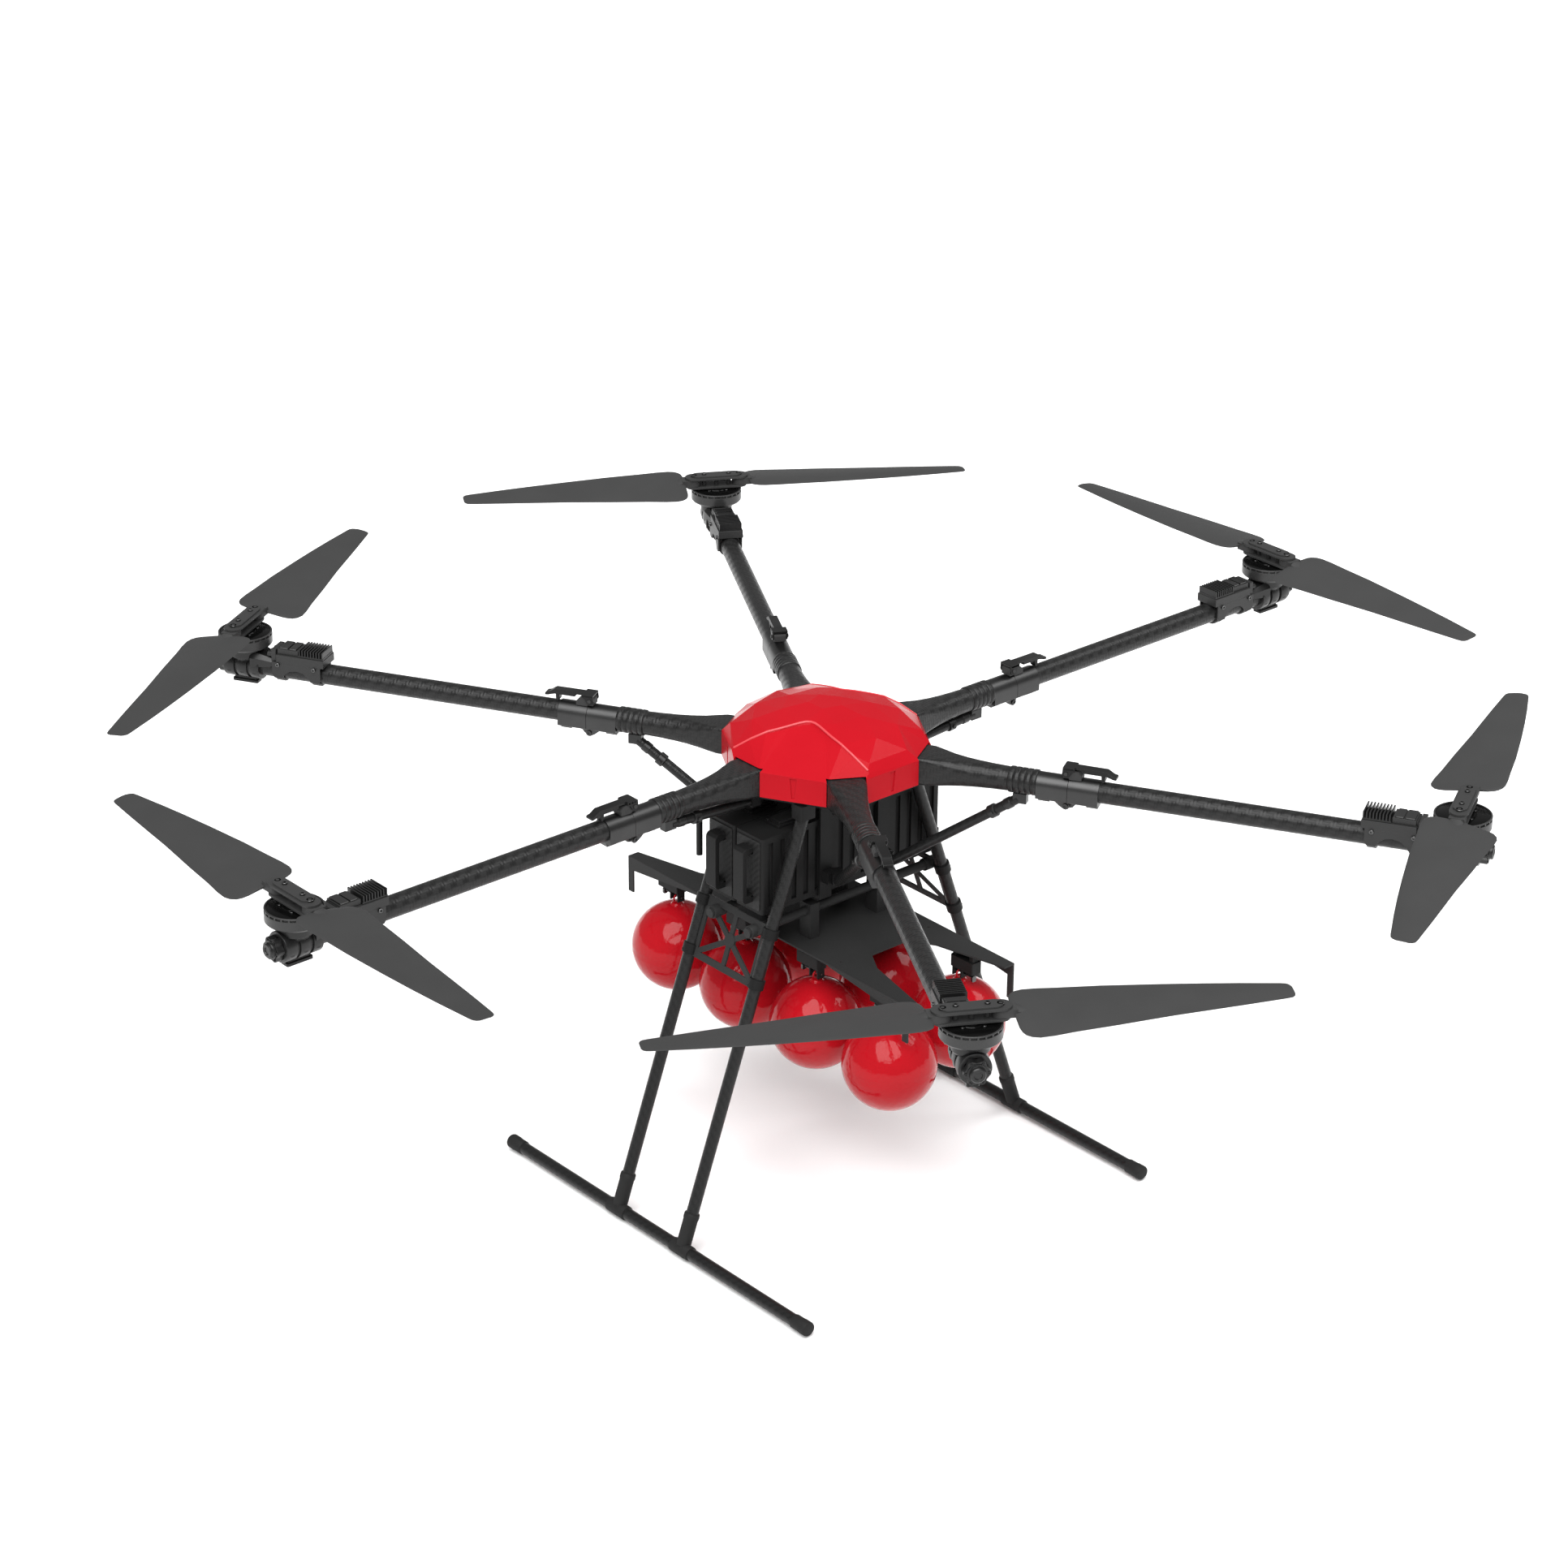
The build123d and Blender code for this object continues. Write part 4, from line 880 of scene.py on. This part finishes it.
def arm_roots():
    root = Form()
    rings = []
    for x, width, height, corner in ROOT_SHAPE:
        lift = 0.001 * max(0.0, min(1.0, (0.205 - x) / 0.033))
        rings.append([(x, px, ARM_Z + lift + pz) for px, pz in rounded(width, height, corner, 8)])
    root.loft(rings)
    on_arms(root, "arm_root_skin", CARBON, "carbon", "airframe")


def arm_collars():
    """Five bands round the outer end of each arm root."""
    collar = Form()
    steps = [(0.019, 0.0)]
    for k in range(5):
        start = 0.0004 + 0.0092 * k
        steps += [(0.0203, start + 0.0006), (0.0208, start + 0.0014), (0.0208, start + 0.0072),
                  (0.0203, start + 0.008), (0.0197, start + 0.0086)]
    steps += [(0.019, 0.0459)]
    collar.lathe(steps, along_arm(ROOT_SHAPE[-1][0]), 56)
    on_arms(collar, "arm_collar", CARBON, "carbon", "airframe")


def fold_sleeves():
    inner = Form()
    inner.prism(sleeve_ring(), along_arm(INNER_START), SPLIT_R - INNER_START, [circle(TUBE_R)])
    foot(inner, INNER_START, INNER_START + 0.022)
    for low in (-0.013, 0.0073):
        ear = [(0.372, 0.7248), (0.3945, 0.7248), (0.3988, HINGE.z + 0.002)]
        ear += arc(HINGE_PIN, HINGE_KNUCKLE, -10, -20, 7) + [(0.383, HINGE.z - 0.0015)]
        inner.prism(ear, side_of_arm(low), 0.0057)
    for side in (-1, 1):
        inner.bolt(aim((HINGE.x, side * 0.013, HINGE.z), (0, side, 0)), 0.0042, 0.0022)
    inner.lathe([(PIN_R, -0.0135), (PIN_R, 0.0135)], aim((HINGE.x, 0, HINGE.z), (0, 1, 0)), 20)
    on_arms(inner, "inner_sleeve", SLEEVE_METAL, "fold_grey", "airframe", bevel=0.0005)


def struts():
    for numbers, end in (((1, 3, 4, 6), (0.1125, 0.5695)), ((2, 5), (0.1585, 0.7025))):
        start, stop = Vector(STRUT_TOP), Vector((end[0], 0, end[1]))
        way = (stop - start).normalized()
        form = Form()
        tube(form, start + way * 0.004, stop, STRUT_R, 30)
        ends = Form()
        ends.box((0.307, -0.007, 0.7058), (0.329, 0.007, 0.7224))
        place = aim(start + way * 0.046, way)
        fit = STRUT_R + 0.0002
        ends.lathe([(fit, 0), (0.0108, 0.001), (0.0108, 0.013), (fit, 0.014)], place, 28)
        ends.lathe([(fit, -0.03), (0.0092, -0.029), (0.0092, -0.0175), (fit, -0.0165)], place, 28)
        for side in (-1, 1):
            ends.lathe([(0.0035, 0.009), (0.0035, 0.0135)], aim(start + way * 0.053, (0, side, 0)), 16)
        places = [(n, turned(ANGLES[n])) for n in numbers]
        for twin in copies(form.object("strut"), "strut_tube", places).values():
            dress(twin, CARBON_LEG, "carbon", "airframe", "arm_struts")
        for twin in copies(ends.object("ends", bevel=0.0006), "strut_fitting", places).values():
            dress(twin, MOUNT_BLACK, "frame_black", "airframe", "arm_struts")


# ---- batteries ----
BATTERY_LONG, BATTERY_HIGH = 0.37, 0.13
BATTERY_END = -BATTERY_LONG / 2


def batteries():
    for name in ("battery_left", "battery_right"):
        low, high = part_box(name)
        mid = (low.y + high.y) / 2
        battery_case(name, low, high, mid)
        battery_end(name, mid, low.z + BATTERY_HIGH / 2)
        battery_grip(name, mid)
        battery_plug(name, mid, low.z + BATTERY_HIGH)


def battery_case(name, low, high, mid):
    """Case with a row of hollows down its outer side."""
    case, hollows = Form(), Form()
    case.prism(rounded(BATTERY_LONG, high.y - low.y, 0.005, 5, (0, mid)), at(0, 0, low.z), BATTERY_HIGH)
    shell = case.object(name + "_case")
    outer = high.y if name == "battery_left" else low.y
    for k in range(15):
        hollow = rounded(0.01, 0.01, 0.001, 3, (0.024 * (k - 7), outer))
        hollows.prism(hollow, at(0, 0, low.z + 0.01), BATTERY_HIGH - 0.02)
    cut(shell, hollows.object("hollows"))
    shade(shell.data, 35)
    round_edges(shell, 0.0012)
    dress(shell, CASE_BLACK, "battery", name, name)


def battery_end(name, mid, middle_z):
    face = Form()
    place = framed((0, 1, 0), (0, 0, 1), (-1, 0, 0), (BATTERY_END, mid, middle_z))
    face.prism(rounded(0.054, 0.118, 0.004, 5), place, 0.0018)
    dress(face.object(name + "_end", bevel=0.0006), CARBON_END, "battery", name, name)


def battery_grip(name, mid):
    """Upright handle on the end, drawn from its upper corner round to its lower one."""
    grip = Form()
    bar = ((0, 0.65), (0.017, 0.65), (0.0215, 0.6455), (0.022, 0.64), (0.022, 0.566), (0.0215, 0.5605),
           (0.017, 0.556), (0, 0.556))
    gap = ((0.0008, 0.568), (0.0118, 0.568), (0.014, 0.5705), (0.014, 0.6355), (0.0118, 0.638),
           (0.0008, 0.638))
    outline, hole = ([(BATTERY_END - reach, z) for reach, z in line] for line in (bar, gap))
    grip.prism(outline, side_of_arm(mid - 0.012), 0.024, [hole])
    dress(grip.object(name + "_grip", bevel=0.002), CASE_BLACK, "battery", name, name)


def battery_plug(name, mid, top):
    plug, seat = Form(), at(-0.112, mid, top)
    flange = 0.0045
    plug.prism(rounded(0.056, 0.034, 0.004), seat, flange)
    plug.prism(rounded(0.044, 0.024, 0.003), seat @ at(0, 0, flange), 0.0042)
    for x in (-0.024, 0.024):
        plug.bolt(seat @ at(x, 0.012, flange), 0.002, 0.0015)
    dress(plug.object(name + "_plug", bevel=0.0008), FIN_BLACK, "battery", name, name)


# ---- legs and skids ----
LEG_Y, LEG_R = 0.08, 0.01
LEG_FOOT, LEG_TOP = (0.36, 0.013), (0.111, 0.707)        # distance out and height
CLAMP_LEVELS = (0.434, 0.512)


def leg_point(side, y, z):
    lean = (LEG_FOOT[0] - LEG_TOP[0]) / (LEG_TOP[1] - LEG_FOOT[1])
    return Vector((side * (LEG_FOOT[0] - lean * (z - LEG_FOOT[1])), y, z))


def legs():
    tubes, fittings = Form(), Form()
    for side in (-1, 1):
        for y in (-LEG_Y, LEG_Y):
            tube(tubes, leg_point(side, y, 0.04), leg_point(side, y, 0.706), LEG_R, 110)
            top = leg_point(side, y, 0.704) + Vector((side * 0.003, 0, 0))
            fittings.prism(rounded(0.03, 0.026, 0.004, 4, (top.x, top.y)), at(0, 0, 0.692), 0.0249)
            way = leg_point(side, y, 1) - leg_point(side, y, 0)
            for z in CLAMP_LEVELS:
                place = aim(leg_point(side, y, z - 0.008), way)
                fittings.lathe([(0.0102, 0), (0.013, 0.0006), (0.013, 0.0164), (0.0102, 0.017)], place, 36)
                for turn in (-1, 1):
                    spot = leg_point(side, y, z) + Vector((side * 0.0115, turn * 0.004, 0))
                    fittings.bolt(aim(spot, (side, 0, 0.35)), 0.0022, 0.0016)
    dress(tubes.object("leg_tubes"), CARBON_LEG, "carbon", "airframe", "landing_legs")
    clamps = fittings.object("leg_fittings", bevel=0.0006)
    dress(clamps, CASE_BLACK, "frame_black", "airframe", "landing_legs")
    trusses()


def trusses():
    """Star-shaped plates between the legs: a frame, a hub, four slanting spokes and an upright one."""
    low_z, high_z, thick, bar = 0.424, 0.522, 0.004, 0.009
    form = Form()
    for side in (-1, 1):
        low, high = leg_point(side, 0, low_z), leg_point(side, 0, high_z)
        rise, along = (high - low).normalized(), Vector((0, 1, 0))
        place = framed(along, rise, along.cross(rise), (low + high) / 2)
        half_w, half_h = LEG_Y - 0.001, (high - low).length / 2
        win_w, win_h = half_w - 0.016, half_h - 0.011
        plate = place @ at(0, 0, -thick / 2)
        window = rounded(2 * win_w, 2 * win_h, 0.006, 4)
        form.prism(rounded(2 * half_w, 2 * half_h, 0.002, 3), plate, thick, [window])
        form.prism(circle(0.0115, 28), place @ at(0, 0, -thick / 2 - 0.0003), thick + 0.0006)
        form.lathe([(0.0045, 0), (0.0045, 0.0016), (0.0038, 0.0022)], place @ at(0, 0, thick / 2), 16)
        for turn in (radians(33), radians(-33), radians(90)):
            spoke = place @ turned(turn) @ at(0, 0, -thick / 2 + 0.0002)
            run = min(win_w / cos(turn), win_h / sin(abs(turn))) + 0.002
            form.prism(rounded(2 * run, bar, 0.001, 2), spoke, thick - 0.0004)
        bush = Vector((leg_point(side, 0, 0.505).x - 0.012, 0, 0.505))
        for y in (-0.045, 0.045):
            ring = aim(bush + Vector((0, y, 0)), (1, 0, 0))
            form.lathe([(0.0081, 0), (0.01, 0), (0.0105, 0.001), (0.0105, 0.023), (0.01, 0.024),
                        (0.0081, 0.024), (0.0081, 0)], ring, 36, caps=False)
    dress(form.object("leg_trusses", bevel=0.0006), RACK_BLACK, "carbon", "airframe", "landing_legs")


def skids():
    tubes, rubber, tees = Form(), Form(), Form()
    low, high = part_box("skid_fittings")
    for side in (-1, 1):
        x, z = side * LEG_FOOT[0], LEG_FOOT[1]
        tube(tubes, (x, low.y + 0.004, z), (x, high.y - 0.004, z), LEG_R, 110)
        for y, way in ((low.y, 1), (high.y, -1)):
            rubber.lathe([(0.0092, 0.0), (0.0112, 0.0008), (0.012, 0.0028), (0.012, 0.015),
                          (0.0114, 0.0185), (0.0114, 0.0325), (0.0106, 0.0338), (0.0101, 0.034)],
                         aim((x, y, z), (0, way, 0)), 40)
        for y in (-LEG_Y, LEG_Y):
            tees.lathe([(0.0101, 0), (0.0114, 0.0006), (0.0118, 0.0018), (0.0118, 0.0422), (0.0114, 0.0434),
                        (0.0101, 0.044)], aim((x, y - 0.022, z), (0, 1, 0)), 40)
            base = leg_point(side, y, 0.019)
            run = (leg_point(side, y, 0.072) - base).length
            place = aim(base, leg_point(side, y, 1) - leg_point(side, y, 0))
            tees.lathe([(0.0112, 0), (0.0118, 0.004), (0.0118, run - 0.012), (0.0126, run - 0.01),
                        (0.0126, run - 0.003), (0.0118, run - 0.001), (0.0101, run)], place, 40)
    dress(tubes.object("skid_tubes"), CARBON_LEG, "carbon", "airframe", "landing_skids")
    dress(rubber.object("skid_caps"), RUBBER, "rubber", "airframe", "skid_fittings")
    dress(tees.object("skid_tees"), RUBBER, "rubber", "airframe", "skid_fittings")


# ---- balls ----
BALL_R = 0.075
RING_R, RING_WIRE = 0.007, 0.0015


def balls():
    low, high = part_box("ball_1")
    centre_z = low.z + BALL_R
    ring_z = high.z - RING_R - RING_WIRE
    shell = Form()
    profile = []
    rows = 72
    for i in range(rows + 1):
        reach, height = polar(BALL_R, -pi / 2 + pi * i / rows)
        seam = 0.0005 if abs(height) < 0.0012 else 0
        profile.append((max(0.0002, reach) - seam, height))
    shell.lathe(profile, at(0, 0, centre_z), 128)
    top = centre_z + BALL_R
    shell.lathe([(0.012, -0.0014), (0.0105, 0.0002), (0.0092, 0.0008), (0.0088, 0.0022), (0.0078, 0.0028),
                 (0.002, 0.0028)], at(0, 0, top), 40)
    ring = Form()
    loops = []
    for i in range(41):
        a = tau * i / 40
        out = Vector((sin(a), 0, -cos(a)))
        mid = Vector((0, 0, ring_z)) + RING_R * out
        loops.append([mid + out * x + Vector((0, y, 0)) for x, y in circle(RING_WIRE, 14)])
    ring.loft(loops, caps=False)
    skin, eye = shell.object("shell", smooth=60), ring.object("ring")
    places = [(n, at(*joint_place(f"ball_{n}_swing").xy, 0)) for n in BALLS]
    for piece, name in ((skin, "ball_shell"), (eye, "ball_ring")):
        for n, twin in copies(piece, name, places).items():
            dress(twin, BALL_RED, "ball_red", f"ball_{n}", f"ball_{n}")


# ---- nodes that keep their CAD shape ----
def kept_nodes():
    for node, material in (("centre_plates", CASE_BLACK), ("flight_electronics", SERVO_BLACK),
                           ("battery_rails", CASE_BLACK), ("payload_rack", RACK_BLACK),
                           ("release_servos", SERVO_BLACK)):
        carry_over(node, material)
    for n in BALLS:
        carry_over(f"release_pin_{n}", WIRE_STEEL)


def replace_shared_nodes():
    """The root and sleeve nodes hold all six arms, so they are hidden here, once for all six."""
    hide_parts("arm_roots")
    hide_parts("fold_sleeves")


# ---- stage ----
VIEW_AZIMUTH, VIEW_ELEVATION, VIEW_ROLL = (radians(a) for a in (-40.866, 25.398, 0.393))
VIEW_DISTANCE, VIEW_ACROSS, VIEW_UP, VIEW_HEIGHT = 6.427, -0.0657, -0.1133, 0.81
LENS = 94.8
KEY_FROM, SIDE_FROM, SIDE_AT = (-0.43, -0.34, 0.84), Vector((2.9, -1.5, 4.4)), Vector((0, 0, 0.8))


def stage():
    form = Form()
    size = 40.0
    form.prism([(-size, -size), (size, -size), (size, size), (-size, size)], at(0, 0, -0.012), 0.01)
    floor = form.object("floor")
    paint = Paint("floor_white", Roughness=0.9, Specular_IOR_Level=0.0)
    paint.blend(paint.noise(2.0), grey(0.93), grey(0.96))
    floor.data.materials.append(paint.material)


def link(name, data, place):
    """A light or camera put in its place."""
    made = bpy.data.objects.new(name, data)
    made.matrix_world = place
    bpy.context.collection.objects.link(made)
    return made


def lights_and_camera():
    key = bpy.data.lights.new("key", "SUN")
    key.energy, key.angle = 5.0, radians(60)
    link("key", key, aim((0, 0, 5), KEY_FROM))
    side = bpy.data.lights.new("side", "AREA")
    side.size, side.energy = 2.2, 75
    link("side", side, aim(SIDE_FROM, SIDE_FROM - SIDE_AT))
    world = bpy.data.worlds.new("studio")
    world.use_nodes = True
    background = world.node_tree.nodes["Background"]
    background.inputs["Color"].default_value = (1, 1, 1, 1)
    background.inputs["Strength"].default_value = 0.36
    bpy.context.scene.world = world
    camera = bpy.data.cameras.new("camera")
    camera.lens = LENS
    camera.clip_end = 100
    back = Vector((sin(VIEW_AZIMUTH) * cos(VIEW_ELEVATION), -cos(VIEW_AZIMUTH) * cos(VIEW_ELEVATION),
                   sin(VIEW_ELEVATION)))
    level = Vector((cos(VIEW_AZIMUTH), sin(VIEW_AZIMUTH), 0))
    right = level * cos(VIEW_ROLL) + back.cross(level) * sin(VIEW_ROLL)
    up = back.cross(right)
    target = right * VIEW_ACROSS + up * VIEW_UP + Vector((0, 0, VIEW_HEIGHT))
    place = framed(right, up, back, back * VIEW_DISTANCE + target)
    bpy.context.scene.camera = link("camera", camera, place)
    bpy.context.scene.view_settings.view_transform = "Standard"


hood()
rotor_bells()
rotor_discs()
hub_plates()
hub_screws()
blades()
arm_tubes()
arm_sleeves()
latch_blocks()
motor_mounts()
end_caps()
motor_lamps()
controller_cases()
controller_fins()
controller_panels()
controller_bolts()
latch_levers()
arm_roots()
arm_collars()
fold_sleeves()
struts()
batteries()
legs()
skids()
balls()
kept_nodes()
replace_shared_nodes()
stage()
lights_and_camera()
